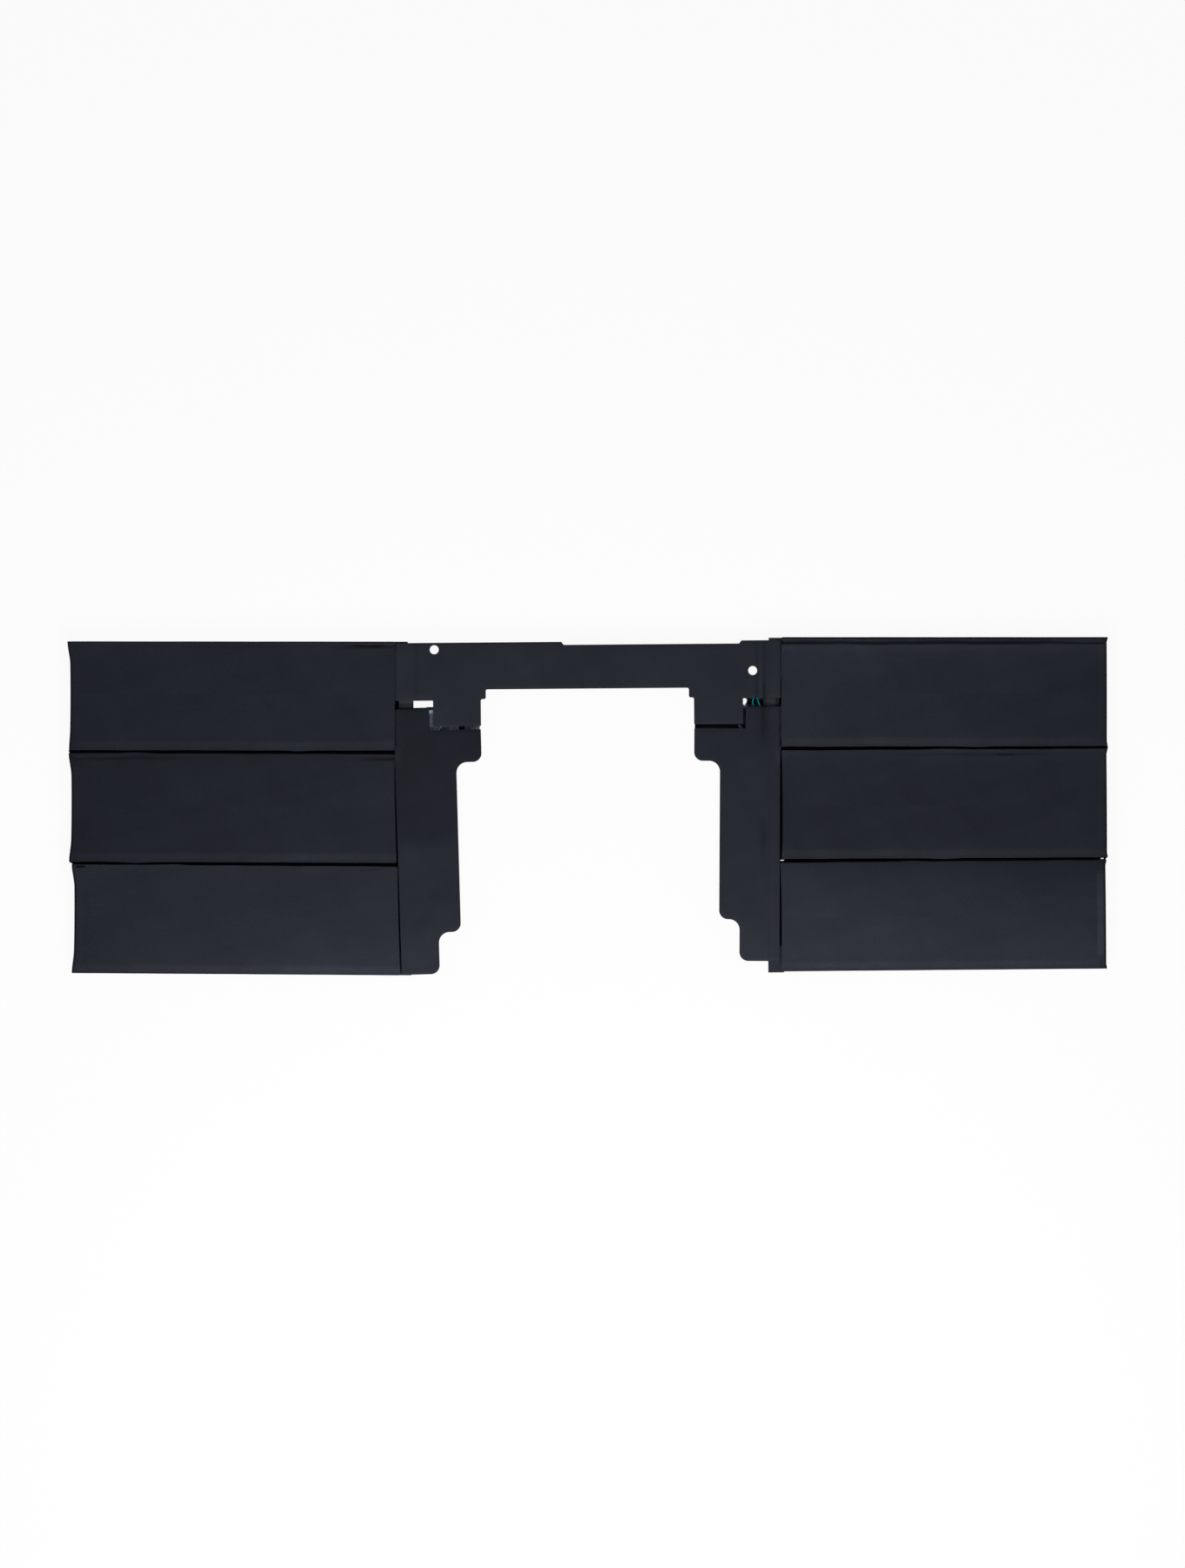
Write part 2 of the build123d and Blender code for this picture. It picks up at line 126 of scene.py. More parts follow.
# Places along the left wing and how far its film runs in against the cells there, in millimetres.
WING_LEAN = ((-46, -16, 14, 17), (0.1, 0.25, 0.55, 0.3))
# Painted light and shade of soft ripples on the left wing film; a positive strength darkens.
WING_RIPPLE_SHADE = [(-42.4, -25.4, 2.5, 2.0, 0, 0.12), (-46.5, -32.5, 4.0, 1.5, 35, 0.14),
              (-49.4, -13.0, 3.0, 3.0, 0, -0.08), (-44.0, -36.0, 2.5, 1.0, 35, -0.12)]
RIBBON_LIFT = {"left": 1.3, "right": 1.0}
RIBBON_PATCHES = {
    "left": [(-53.2, 28.5, 0.5, 4.0, 0, 0.9), (-48.9, 28.5, 0.35, 4.0, 0, 0.9)],
    "right": [(49.1, 28.5, 1.3, 4.0, 0, 0.35), (52.8, 28.5, 1.3, 4.0, 0, 0.45)],
}
# Slits of a foam strip: start and stop past its end in millimetres, then rear and front side
# as shares of its width.
STRIP_SLITS = {"inner": (1.55, 0.5, 0.25, 0.52), "outer": (0.1, 1.1, 0.3, 0.72)}
PATCH_EDGE = 0.12
FRONT_EARS = {("left", "rear"): 0.3}
PLAIN_FRONT_EAR = 0.7
# Painted sheen in a band near each cell's outer end, and its strength where none is listed.
END_HIGHLIGHTS = {("right", "front"): 0.6, ("left", "rear"): 0.04}
PLAIN_END_HIGHLIGHT = 0.12
# Strengths of painted shade on turned-down rims, in grooves, beside the deep groove and at the knee, and of
# the painted highlight on a groove's lip.
RIM_SHADE = {"end": 0.9, "rear": 0.8, "front": 0.5}
GROOVE_SHADE = 0.75
SEAM_SHADE = 0.35
LIP_HIGHLIGHT = 0.3
KNEE_SHADOW = 0.9
WORLD_LIGHT = 0.15
FLOOR_WHITE = 0.93
PHOTO_WIDTH = 1360
PHOTO_HEIGHT = 1800


def length(name, description, default):
    """A size that a user may change, in metres."""
    return bpy.props.FloatProperty(
        name=name, description=description, default=default, unit="LENGTH", precision=5
    )


def colour(name, description, default):
    """A colour that a user may change."""
    return bpy.props.FloatVectorProperty(
        name=name, description=description, default=default, size=3, min=0.0, max=1.0, subtype="COLOR"
    )


class PouchSettings(bpy.types.PropertyGroup):
    """Form and finish of the pouch cells."""

    seal_length: length("End seal", "Length of the flat seal at the inner end", 3.6 * MM)
    seal_bottom: length("End seal height", "Underside of the flat end seal above the table", 3.05 * MM)
    seal_thickness: length("Seal thickness", "Thickness of the flat end seal", 0.3 * MM)
    seam_width: length("Seam width", "Width of a folded side seam", 1.35 * MM)
    seam_bottom: length("Seam underside", "Underside of the side seam above the table", 0.5 * MM)
    seam_round: length("Seam rounding", "Rounding of the seam's outer folds", 0.1 * MM)
    seam_drift: length("Seam drift", "How far the seam's edge wanders inward", 0.06 * MM)
    seam_lean: length("Seam lean", "How far the seam leans over the gap at one place", 0.25 * MM)
    waist: length("Waist", "Height at which the sides stand out furthest", 2.4 * MM)
    roll_span: length("Roll span", "Width of the sloping strip along a front edge", 2.9 * MM)
    roll_drop: length("Roll drop", "How far that strip falls to the front edge", 0.14 * MM)
    edge_fall: length("Edge fall", "Fall of the narrow bevel along a front edge", 0.03 * MM)
    line_depth: length("Line depth", "Depth of the faint line near a front edge", 0.012 * MM)
    deep_width: length("Deep groove width", "Half width of a groove behind a cell", 0.45 * MM)
    deep_groove: length("Deep groove", "Depth of the groove behind the right rear cell", 0.5 * MM)
    ridge: length("Ridge", "Height of the lip beside the deep groove", 0.1 * MM)
    end_round: length("End rounding", "Rounding of the cup's top edge at both ends", 0.15 * MM)
    end_fall: length("End fall", "How far the top face falls at the outer end", 0.1 * MM)
    end_bevel: length("End bevel", "Fall of the narrow bevel along the outer end", 0.18 * MM)
    # Place of the painted sheen band near the outer end.
    end_highlight: length("End band", "Distance of the paler band from the outer end", 1.5 * MM)
    knee_depth: length("Knee depth", "Depth of the knee where the end seal meets the cup", 1.6 * MM)
    knee_span: length("Knee span", "Width of the knee along the cell", 1.0 * MM)
    flap_rise: length("Flap rise", "How far the right end seal's bare rear corner stands up", 0.85 * MM)
    # Widths of the painted shade along the turned-down rims.
    end_rim_shade: length("End rim", "Width of the dark rim along the outer end", 0.42 * MM)
    side_rim_shade: length("Side rim", "Width of the dark rim along an open side", 0.22 * MM)
    deep_rim_shade: length("Deep rim", "Width of that rim beside the deep groove", 0.48 * MM)
    cup_foot: length("Foot rounding", "Rounding of the cup's bottom edge", 0.8 * MM)
    cup_corner: length("Cup corner", "Radius of the cup's inner corners in plan", 0.5 * MM)
    edge_sag: length("Edge sag", "How far the top face falls towards its edges", 0.12 * MM)
    left_bow: length("Left bow", "How far a left cell's outer end is drawn in at its middle", 0.22 * MM)
    right_bow: length("Right bow", "How far a right cell's outer end is drawn in at its middle", -0.04 * MM)
    inner_bow: length("Inner bow", "How far the inner end is drawn in at its middle", 0.2 * MM)
    inner_lap: length("Inner lap", "How far the inner corners stand towards the films", 0.15 * MM)
    snug: length("Snug", "How far a rear cell's inner end stands towards the bar film", 0.12 * MM)
    wing_snug: length("Wing snug", "How much further it stands towards the right wing film", 0.18 * MM)
    ear_room: length("Ear room", "Room past the outer end for the pinched corners", 0.65 * MM)
    left_ear: length("Left ear", "Pinched corner past the outer end of a left cell", 0.65 * MM)
    left_ear_span: length("Left ear span", "Pinched corner along the outer end of a left cell", 6.5 * MM)
    right_ear: length("Right ear", "Pinched corner past the outer end of a right cell", 0.35 * MM)
    right_ear_span: length("Right ear span", "Pinched corner along the outer end of a right cell", 1.6 * MM)
    tuck: length("Tuck", "How far a pinched corner dips", 0.25 * MM)
    ear_bottom: length("Ear underside", "Underside of the pinched corner above the table", 1.2 * MM)
    tone: colour("Laminate", "Colour of the matte pouch laminate", (0.0070, 0.0088, 0.0150))
    worn: colour("Worn laminate", "Colour of the laminate on its worn folds", (0.012, 0.0125, 0.016))


class FilmSettings(bpy.types.PropertyGroup):
    """Form and finish of the films, tapes and ribbons."""

    spacing: length("Spacing", "Spacing of the points in a film", 0.5 * MM)
    droop: length("Edge droop", "How far a film bends down over a board's edge", 0.05 * MM)
    ripple: length("Ripple", "Height of the soft ripples in a film", 0.03 * MM)
    lap: length("Lap", "How far a film climbs beside the rear cells", 0.34 * MM)
    left_tuck: length("Left tuck", "How far the films run in against the left rear cell", 0.3 * MM)
    right_tuck: length("Right tuck", "How far the films run in against the right rear cell", 0.4 * MM)
    crease: length("Crease", "Height of the creases over the right end seals", 0.06 * MM)
    wrinkle: length("Wrinkle", "Height of the wrinkles in the bridge tapes", 0.12 * MM)
    bar_tone: colour("Bar film", "Colour of the matte film over the bar", (0.0108, 0.013, 0.0200))
    wing_tone: colour("Wing film", "Colour of the matte films over the wings", (0.0064, 0.008, 0.0135))
    back_tone: colour("Back film", "Colour of the gloss back films", (0.006, 0.0065, 0.008))
    ribbon_shift: length("Ribbon shift", "How far a ribbon lies towards the bay from its solid", 0.15 * MM)
    sag: length("Sag", "How far a ribbon sags in its slit", 0.2 * MM)
    tape_tone: colour("Tape", "Colour of the bridge tapes where they are dark", (0.002, 0.0025, 0.0035))
    # Colour of the painted highlights and reflections on the tapes.
    reflection_tone: colour("Pale tape", "Colour of the bridge tapes' pale patches", (0.62, 0.72, 0.92))
    ribbon_tone: colour("Ribbon", "Colour of the link ribbons", (0.0100, 0.0105, 0.0130))
    lead_tone: colour("Lead", "Colour of the sense leads' insulation", (0.0, 0.2, 0.28))


class StageSettings(bpy.types.PropertyGroup):
    """Camera, floor and light."""

    camera_height: length("Camera height", "Camera above the top of the cells", 1.6)
    view_width: length("View width", "Width of the picture at the top of the cells", 0.3299)
    aim_x: length("Aim X", "Middle of the picture across the pack", 0.0011)
    aim_y: length("Aim Y", "Middle of the picture along the pack", 0.0062)
    floor_size: length("Floor size", "Width of the floor", 6.0)
    floor_tone: colour("Floor", "Colour of the floor", (0.9, 0.9, 0.9))


def ripple(along, wave, seed):
    """Soft irregular wave between about -1 and 1."""
    turn = 2 * math.pi * along / wave
    phase = 2.4 * seed
    waves = ((0.5, 1.0, 1.0), (0.3, 2.3, 1.7), (0.2, 4.1, 0.6))
    return sum(height * np.sin(rate * turn + lag * phase) for height, rate, lag in waves)


def smooth_step(low, high, value):
    """0 below low, 1 above high, eased between."""
    t = np.clip((value - low) / (high - low), 0.0, 1.0)
    return t * t * (3.0 - 2.0 * t)


def hump(value, middle, half_width):
    """A soft hump, 1 at its middle."""
    return np.exp(-((value - middle) / half_width) ** 2)


def quarter_round(depth, radius):
    """Height gained over a rounded edge, so far in from it."""
    return np.sqrt(radius ** 2 - (radius - np.clip(depth, 0.0, radius)) ** 2)


def stations(span, edge, fine, coarse):
    """Places from 0 to span, close together near both ends."""
    near = np.linspace(0.0, edge, round(edge / fine), endpoint=False)
    middle = np.linspace(edge, span - edge, round((span - 2 * edge) / coarse), endpoint=False)
    return np.concatenate([near, middle, np.linspace(span - edge, span, round(edge / fine) + 1)])


def closed_grid(top, bottom, waist):
    """Points and faces of a closed slab between two grids, its wall bent at the waist's height."""
    rows, columns, _ = top.shape
    count = rows * columns
    index = np.arange(count).reshape(rows, columns)
    rim = np.concatenate([index[:, 0], index[-1, 1:], index[-2::-1, -1], index[0, -2:0:-1]])
    band = bottom.reshape(-1, 3)[rim]
    band[:, 2] = waist
    points = np.concatenate([top.reshape(-1, 3), bottom.reshape(-1, 3), band])
    square = np.stack([index[:-1, :-1], index[1:, :-1], index[1:, 1:], index[:-1, 1:]], -1).reshape(-1, 4)
    rings = (rim, 2 * count + np.arange(len(rim)), rim + count)
    walls = [np.stack([a, b, np.roll(b, -1), np.roll(a, -1)], -1) for a, b in zip(rings[:-1], rings[1:])]
    return points, np.concatenate([square, square[:, ::-1] + count, *walls])


def join(*shapes):
    """One list of points and faces from several."""
    points, faces, count = [], [], 0
    for p, f in shapes:
        points.append(p)
        faces.append(f + count)
        count += len(p)
    return np.concatenate(points), np.concatenate(faces)


def add_piece(name, points, faces, finish, node, sharp=40.0, shade=None):
    """A new piece that stands for a CAD node, with a shade for each of its points."""
    mesh = bpy.data.meshes.new(name)
    mesh.from_pydata(points.tolist(), [], faces.tolist())
    if shade is not None:
        mesh.attributes.new("shade", "FLOAT", "POINT").data.foreach_set("value", shade)
    shape = bmesh.new()
    shape.from_mesh(mesh)
    bmesh.ops.recalc_face_normals(shape, faces=shape.faces)
    shape.to_mesh(mesh)
    shape.free()
    mesh.shade_smooth()
    mesh.set_sharp_from_angle(angle=math.radians(sharp))
    mesh.materials.append(finish)
    piece = bpy.data.objects.new(name, mesh)
    bpy.context.scene.collection.objects.link(piece)
    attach(piece, "root")
    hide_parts(node)
    return piece


def dress(finish, *nodes):
    """CAD nodes that keep their shape and get a finish."""
    for node in nodes:
        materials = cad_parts[node].data.materials
        materials.clear()
        materials.append(finish)


def solid_points(node):
    """Points of a CAD node, in metres."""
    return np.array([v.co[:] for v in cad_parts[node].data.vertices])


def lie_of(node):
    """Middle of a cell's flat underside, and its directions outward and across."""
    points = solid_points(node)
    foot = points[points[:, 2] < 0.001 * MM][:, :2]
    middle = foot.mean(0)
    values, axes = np.linalg.eigh(np.cov((foot - middle).T))
    out = axes[:, np.argmax(values)]
    out = out * np.sign(out @ middle)
    return middle, out, np.array([-out[1], out[0]])


def new_finish(name):
    """An empty material with its shader and node tree."""
    finish = bpy.data.materials.new(name)
    finish.use_nodes = True
    return finish, finish.node_tree, finish.node_tree.nodes["Principled BSDF"]


def grain(tree, per_metre, detail=3.0, stretch=(1.0, 1.0, 1.0)):
    """Noise over the piece, with so many features to the metre."""
    place = tree.nodes.new("ShaderNodeTexCoord")
    scale = tree.nodes.new("ShaderNodeMapping")
    scale.inputs["Scale"].default_value = stretch
    noise = tree.nodes.new("ShaderNodeTexNoise")
    noise.inputs["Scale"].default_value = per_metre
    noise.inputs["Detail"].default_value = detail
    tree.links.new(place.outputs["Object"], scale.inputs["Vector"])
    tree.links.new(scale.outputs["Vector"], noise.inputs["Vector"])
    return noise.outputs["Fac"]


def level(tree, factor, low, high, start=0.3, end=0.7):
    """A number that runs from low to high with a factor."""
    spread = tree.nodes.new("ShaderNodeMapRange")
    for socket, value in zip(("From Min", "From Max", "To Min", "To Max"), (start, end, low, high)):
        spread.inputs[socket].default_value = value
    tree.links.new(factor, spread.inputs["Value"])
    return spread.outputs["Result"]


def blend_colours(tree, factor, first, second):
    """A colour that runs from first to second with a factor."""
    mix = tree.nodes.new("ShaderNodeMix")
    mix.data_type = "RGBA"
    tree.links.new(factor, mix.inputs["Factor"])
    for socket, value in zip((mix.inputs[6], mix.inputs[7]), (first, second)):
        if isinstance(value, bpy.types.NodeSocket):
            tree.links.new(value, socket)
        else:
            socket.default_value = (*value, 1.0)
    return mix.outputs[2]


def relief(tree, shader, *layers):
    """Bumps the surface by several heights, each with its depth in metres."""
    normal = None
    for height, depth in layers:
        bump = tree.nodes.new("ShaderNodeBump")
        bump.inputs["Distance"].default_value = depth
        tree.links.new(height, bump.inputs["Height"])
        if normal:
            tree.links.new(normal, bump.inputs["Normal"])
        normal = bump.outputs["Normal"]
    tree.links.new(normal, shader.inputs["Normal"])


def fold_wear(tree):
    """How far a point stands on a raised fold."""
    geometry = tree.nodes.new("ShaderNodeNewGeometry")
    return level(tree, geometry.outputs["Pointiness"], 0.0, 1.0, 0.52, 0.62)


def shaded(tree, shader, colour_socket, specular):
    """Lets the piece's shade scale a colour and the sheen; a plain shade leaves both as they are."""
    shade = tree.nodes.new("ShaderNodeAttribute")
    shade.attribute_name = "shade"
    tone = blend_colours(tree, shade.outputs["Fac"], (0.0, 0.0, 0.0), colour_socket)
    tree.links.new(tone, shader.inputs["Base Color"])
    sheen = level(tree, shade.outputs["Fac"], 0.0, specular / PLAIN_SHADE, 0.0, 1.0)
    tree.links.new(sheen, shader.inputs["Specular IOR Level"])
    shader.inputs["Specular Tint"].default_value = (0.78, 0.86, 1.0, 1.0)


def scaled(tone, factor):
    """A tone made lighter or darker."""
    return tuple(min(1.0, value * factor) for value in tone)


def turned(x, y, across, along, turn):
    """Places along and across a turned patch, in millimetres from its middle."""
    run, rise = math.cos(math.radians(turn)), math.sin(math.radians(turn))
    u, v = x / MM - across, y / MM - along
    return u * run + v * rise, v * run - u * rise


def painted(x, y, patches):
    """How strongly each place lies under patches with a narrow soft edge."""
    value = np.zeros_like(x)
    for across, along, length, width, turn, strength in patches:
        inside = [1.0 - smooth_step(0.5 * size - PATCH_EDGE, 0.5 * size + PATCH_EDGE, np.abs(place))
                  for size, place in zip((length, width), turned(x, y, across, along, turn))]
        value = np.maximum(value, strength * inside[0] * inside[1])
    return value


def clouded(x, y, patches):
    """How strongly each place lies under patches that fade out."""
    value = np.zeros_like(x)
    for across, along, length, width, turn, strength in patches:
        u, v = turned(x, y, across, along, turn)
        value = value + strength * hump(u, 0.0, length) * hump(v, 0.0, width)
    return value


def laminate_finish(pouch):
    """Matte black pouch laminate with a fine grain and paler folds."""
    finish, tree, shader = new_finish("pouch_laminate")
    tone = scaled(pouch.tone, 1 / PLAIN_SHADE)
    cool, warm = (tone[0] * 0.92, tone[1], tone[2] * 1.05), (tone[0] * 1.08, tone[1], tone[2] * 0.95)
    cloud = blend_colours(tree, grain(tree, 130.0), cool, warm)
    speck = blend_colours(tree, level(tree, grain(tree, 3600.0, 2.0), 0.0, 1.3), scaled(tone, 0.45), cloud)
    worn = blend_colours(tree, fold_wear(tree), speck, scaled(pouch.worn, 1 / PLAIN_SHADE))
    shaded(tree, shader, worn, 0.32)
    tree.links.new(level(tree, grain(tree, 240.0), 0.52, 0.58), shader.inputs["Roughness"])
    relief(tree, shader, (grain(tree, 38.0), 0.3 * MM), (grain(tree, 3400.0, 2.0), 0.02 * MM))
    return finish


def cover_film_finish(name, tone):
    """Matte black film with a fine even tooth."""
    finish, tree, shader = new_finish(name)
    tone = scaled(tone, 1 / PLAIN_SHADE)
    cloud = blend_colours(tree, grain(tree, 90.0), scaled(tone, 0.92), scaled(tone, 1.08))
    speck = blend_colours(tree, level(tree, grain(tree, 3900.0, 2.0), 0.0, 1.3), scaled(tone, 0.5), cloud)
    shaded(tree, shader, speck, 0.32)
    tree.links.new(level(tree, grain(tree, 300.0), 0.52, 0.58), shader.inputs["Roughness"])
    relief(tree, shader, (grain(tree, 120.0), 0.02 * MM), (grain(tree, 4600.0, 2.0), 0.01 * MM))
    return finish


def gloss_film_finish(name, tone, haze, roughness):
    """Gloss film or tape with faint clouding and scuffs."""
    finish, tree, shader = new_finish(name)
    cloud = blend_colours(tree, level(tree, grain(tree, 420.0, 4.0), 0.0, 1.0), tone, haze)
    tree.links.new(cloud, shader.inputs["Base Color"])
    tree.links.new(level(tree, grain(tree, 900.0), roughness, roughness + 0.18), shader.inputs["Roughness"])
    relief(tree, shader, (grain(tree, 260.0), 0.12 * MM), (grain(tree, 2600.0, 2.0), 0.008 * MM))
    return finish


def reflecting_tape_finish(name, tone, pale):
    """Dark gloss tape with painted highlights and reflections, as pale as the piece's shade."""
    finish, tree, shader = new_finish(name)
    shade = tree.nodes.new("ShaderNodeAttribute")
    shade.attribute_name = "shade"
    reflected = blend_colours(tree, shade.outputs["Fac"], tone, pale)
    mottle = blend_colours(tree, level(tree, grain(tree, 1100.0, 3.0), 0.0, 0.5), reflected, tone)
    tree.links.new(mottle, shader.inputs["Base Color"])
    tree.links.new(level(tree, grain(tree, 900.0), 0.25, 0.4), shader.inputs["Roughness"])
    shader.inputs["Specular IOR Level"].default_value = 0.12
    relief(tree, shader, (grain(tree, 260.0), 0.06 * MM), (grain(tree, 2600.0, 2.0), 0.008 * MM))
    return finish


def board_finish():
    """Black solder mask with faint copper pours under it."""
    finish, tree, shader = new_finish("circuit_board")
    pour = level(tree, grain(tree, 160.0, 0.0), 0.0, 1.0, 0.48, 0.5)
    mask = blend_colours(tree, pour, (0.006, 0.009, 0.008), (0.011, 0.016, 0.013))
    tree.links.new(mask, shader.inputs["Base Color"])
    tree.links.new(level(tree, grain(tree, 1800.0), 0.28, 0.42), shader.inputs["Roughness"])
    relief(tree, shader, (pour, 0.02 * MM), (grain(tree, 3000.0), 0.004 * MM))
    return finish


def strip_finish(name, tone, roughness, stretch):
    """Rolled metal strip with lengthwise drawing lines."""
    finish, tree, shader = new_finish(name)
    lines = grain(tree, 2500.0, 4.0, stretch)
    body = blend_colours(tree, lines, scaled(tone, 0.85), scaled(tone, 1.1))
    tree.links.new(body, shader.inputs["Base Color"])
    shader.inputs["Metallic"].default_value = 1.0
    tree.links.new(level(tree, lines, roughness, roughness + 0.15), shader.inputs["Roughness"])
    relief(tree, shader, (lines, 0.004 * MM), (grain(tree, 500.0), 0.01 * MM))
    return finish


def moulded_finish(name, tone, roughness, specular=0.5):
    """Moulded resin or ceramic with a fine tooth and paler edges."""
    finish, tree, shader = new_finish(name)
    body = blend_colours(tree, grain(tree, 3000.0), scaled(tone, 0.85), scaled(tone, 1.2))
    worn = blend_colours(tree, fold_wear(tree), body, scaled(tone, 1.7))
    tree.links.new(worn, shader.inputs["Base Color"])
    tree.links.new(level(tree, grain(tree, 1500.0), roughness, roughness + 0.12), shader.inputs["Roughness"])
    shader.inputs["Specular IOR Level"].default_value = specular
    relief(tree, shader, (grain(tree, 6000.0, 2.0), 0.006 * MM))
    return finish


def end_seal(pouch, width, side_name, row, front):
    """Form and shades of the flat seal at a cell's inner end, which falls at a knee beside the cup."""
    half = width / 2
    x, y = np.meshgrid(np.linspace(-pouch.seal_length, pouch.cup_foot, 45),
                       stations(width, 1 * MM, 0.1 * MM, 0.5 * MM) - half, indexing="ij")
    swell = 0.5 * pouch.seal_thickness * np.array([[[-1.0]], [[1.0]]]) * np.ones_like(x)
    depth = np.minimum(half - np.abs(y), x + pouch.seal_length)
    swell = swell * np.where(depth > 0.05 * MM, 1.0, 0.6)
    if (side_name, row) == ("right", "front"):
        y = y + front * 0.3 * MM * smooth_step(half - 3 * MM, half, front * y)
    knee = pouch.knee_depth * smooth_step(-1.2 * pouch.knee_span, -0.9 * pouch.knee_span, x)
    # Painted shadow on the seal where it lies deep at the knee beside the cup.
    shadow = knee * smooth_step(0.6 * MM, 1.4 * MM, half - front * y)
    bare = {"rear": (0.6 * MM, 1.4 * MM, half + front * y), "front": (7.2 * MM, 8 * MM, half - front * y)}
    if row in bare:
        knee = knee * smooth_step(*bare[row])
    if (side_name, row) == ("right", "rear"):
        knee = knee - pouch.flap_rise * (1.0 - smooth_step(*bare[row]))
    if (side_name, row) != ("left", "front"):
        shadow = np.maximum(knee, 0.0)
    middle = pouch.seal_bottom + 0.5 * pouch.seal_thickness
    under, over = (np.stack([x, y, middle + lift - knee], -1) for lift in swell)
    points, faces = closed_grid(over, under, middle)
    shade = np.ones(len(points))
    shade[:shadow.size] = 1.0 - KNEE_SHADOW * shadow.ravel() / pouch.knee_depth
    return points, faces, shade


def pouch_shape(pouch, size, seed, side_name, row, front):
    """Closed form and shades of one cell, its inner end wall at x = 0 and the table at z = 0."""
    span, width, height = size
    half = width / 2
    deep = (side_name, row) == ("right", "rear")
    x, y = np.meshgrid(stations(span, 3 * MM, 0.12 * MM, 0.8 * MM),
                       stations(width, 3.4 * MM, 0.085 * MM, 0.9 * MM) - half, indexing="ij")
    side = half - np.abs(y)
    tip = np.abs(y) / half
    at_front = np.sign(y) == front
    hand = np.where(y < 0, 1.0, 2.0) + 3.0 * seed
    belly = (1.0 - tip ** 2) * (1.0 - (2.0 * x / span - 1.0) ** 2)

    names = ("bow", "ear", "ear_span")
    end_bow, ear_reach, ear_span = (getattr(pouch, f"{side_name}_{name}") for name in names)
    front_ear = FRONT_EARS.get((side_name, row), PLAIN_FRONT_EAR)
    ear = np.where(at_front, front_ear, 1.0) * smooth_step(half - ear_span, half, np.abs(y))
    end = span - end_bow * (1.0 - tip ** 2) + ear_reach * ear
    x = x + (end - span) * smooth_step(span - 6 * MM, span, x)
    near_wall = 1.0 - smooth_step(0.0, 3 * MM, x)
    corner = (pouch.cup_corner - quarter_round(side, pouch.cup_corner)) * near_wall
    bow = pouch.inner_bow * (1.0 - tip ** 2) - pouch.inner_lap * tip ** 6
    if (side_name, row) in INNER_SLANTS:
        start, change = INNER_SLANTS[side_name, row]
        bow = 0.5 * bow + (start + change * (half + front * y) / width) * MM
    if row == "rear":
        beside_wing = (side_name == "right") * smooth_step(2.2 * MM, 4.2 * MM, front * y)
        bow = -pouch.snug - pouch.wing_snug * beside_wing
    bow = bow * near_wall
    pinch = smooth_step(half - 1.6 * MM, half, np.abs(y)) * smooth_step(span - 1.6 * MM, span, x)

    seam = pouch.seam_width * (1.0 + 0.1 * ripple(x, 33 * MM, hand + 0.5))
    behind = 1.0 * deep + sum(strength * np.exp(-((x / MM - middle) / reach) ** 2)
                              for middle, reach, strength in REAR_GROOVES.get((side_name, row), ()))
    behind = np.where(at_front, 0.0, behind)
    fold = height + 0.02 * MM * ripple(x, 37 * MM, hand + 1.0)
    face = height - pouch.edge_sag * (1.0 - belly) + 0.015 * MM * ripple(x + 0.6 * y, 31 * MM, seed)
    onto = np.where(deep & ~at_front, smooth_step(seam - 0.3 * MM, seam + 0.3 * MM, side), 1.0)
    roll = 1.0 - smooth_step(0.3 * MM, pouch.roll_span, side)
    roll = (1.0 + 0.35 * ripple(x, 41 * MM, hand + 2.0)) * roll
    bevel = 1.0 - smooth_step(0.0, 0.35 * MM, side)
    line = (0.5 + ripple(x, 23 * MM, hand + 3.0)) * np.exp(-((side - 0.7 * MM) / (0.25 * MM)) ** 2)
    roll = at_front * (pouch.roll_drop * roll + pouch.edge_fall * bevel + pouch.line_depth * line)
    trough = hump(side, seam, pouch.deep_width)
    groove = behind * pouch.deep_groove * trough * (0.85 + 0.15 * ripple(x, 47 * MM, hand))
    lip = behind * np.exp(-np.maximum(side - seam, 0.0) / (1.2 * MM)) * onto
    ridge = pouch.ridge * lip
    outer = np.maximum(end - x, 0.0)
    rim = sum(radius - quarter_round(depth, radius) for depth, radius in (
        (side, pouch.seam_round), (x, pouch.end_round)))
    rim = rim + pouch.end_fall * (1.0 - smooth_step(0.0, 2.2 * MM, outer))
    rim = rim + pouch.end_bevel * (1.0 - smooth_step(0.0, 0.5 * MM, outer))
    top = fold * (1.0 - onto) + face * onto - roll - groove + ridge - rim
    top = np.minimum(top, height) - pinch * pouch.tuck

    gap_edges = {"rear": [front], "middle": [front, -front], "front": [-front]}[row]
    beside_gap = np.isin(np.sign(y), gap_edges)
    shade = 1.0 + 0.05 * ripple(x + 0.5 * y, 43 * MM, hand + 4.0)
    shade = shade + 0.04 * ripple(y - 0.3 * x, 19 * MM, hand + 5.0)
    # Painted sheen in a band near the outer end.
    band = END_HIGHLIGHTS.get((side_name, row), PLAIN_END_HIGHLIGHT)
    band = band * (0.8 + 0.2 * ripple(y, 9 * MM, seed)) * smooth_step(2.5 * MM, 4.5 * MM, side)
    shade = shade + band * np.exp(-((outer - pouch.end_highlight) / (0.9 * MM)) ** 4)
    # Painted shade on the rims that turn down at the outer end and along the open sides.
    shade = shade * (1.0 - RIM_SHADE["end"] * hump(outer, 0.0, pouch.end_rim_shade))
    turn_down = np.where(at_front, RIM_SHADE["front"], RIM_SHADE["rear"])
    turn_down = turn_down * (1.0 - 0.4 * deep * smooth_step(0.55 * span, 0.9 * span, x))
    rim_width = pouch.deep_rim_shade if deep else pouch.side_rim_shade
    shade = shade * (1.0 - np.where(beside_gap, 0.0, turn_down) * hump(side, 0.0, rim_width))
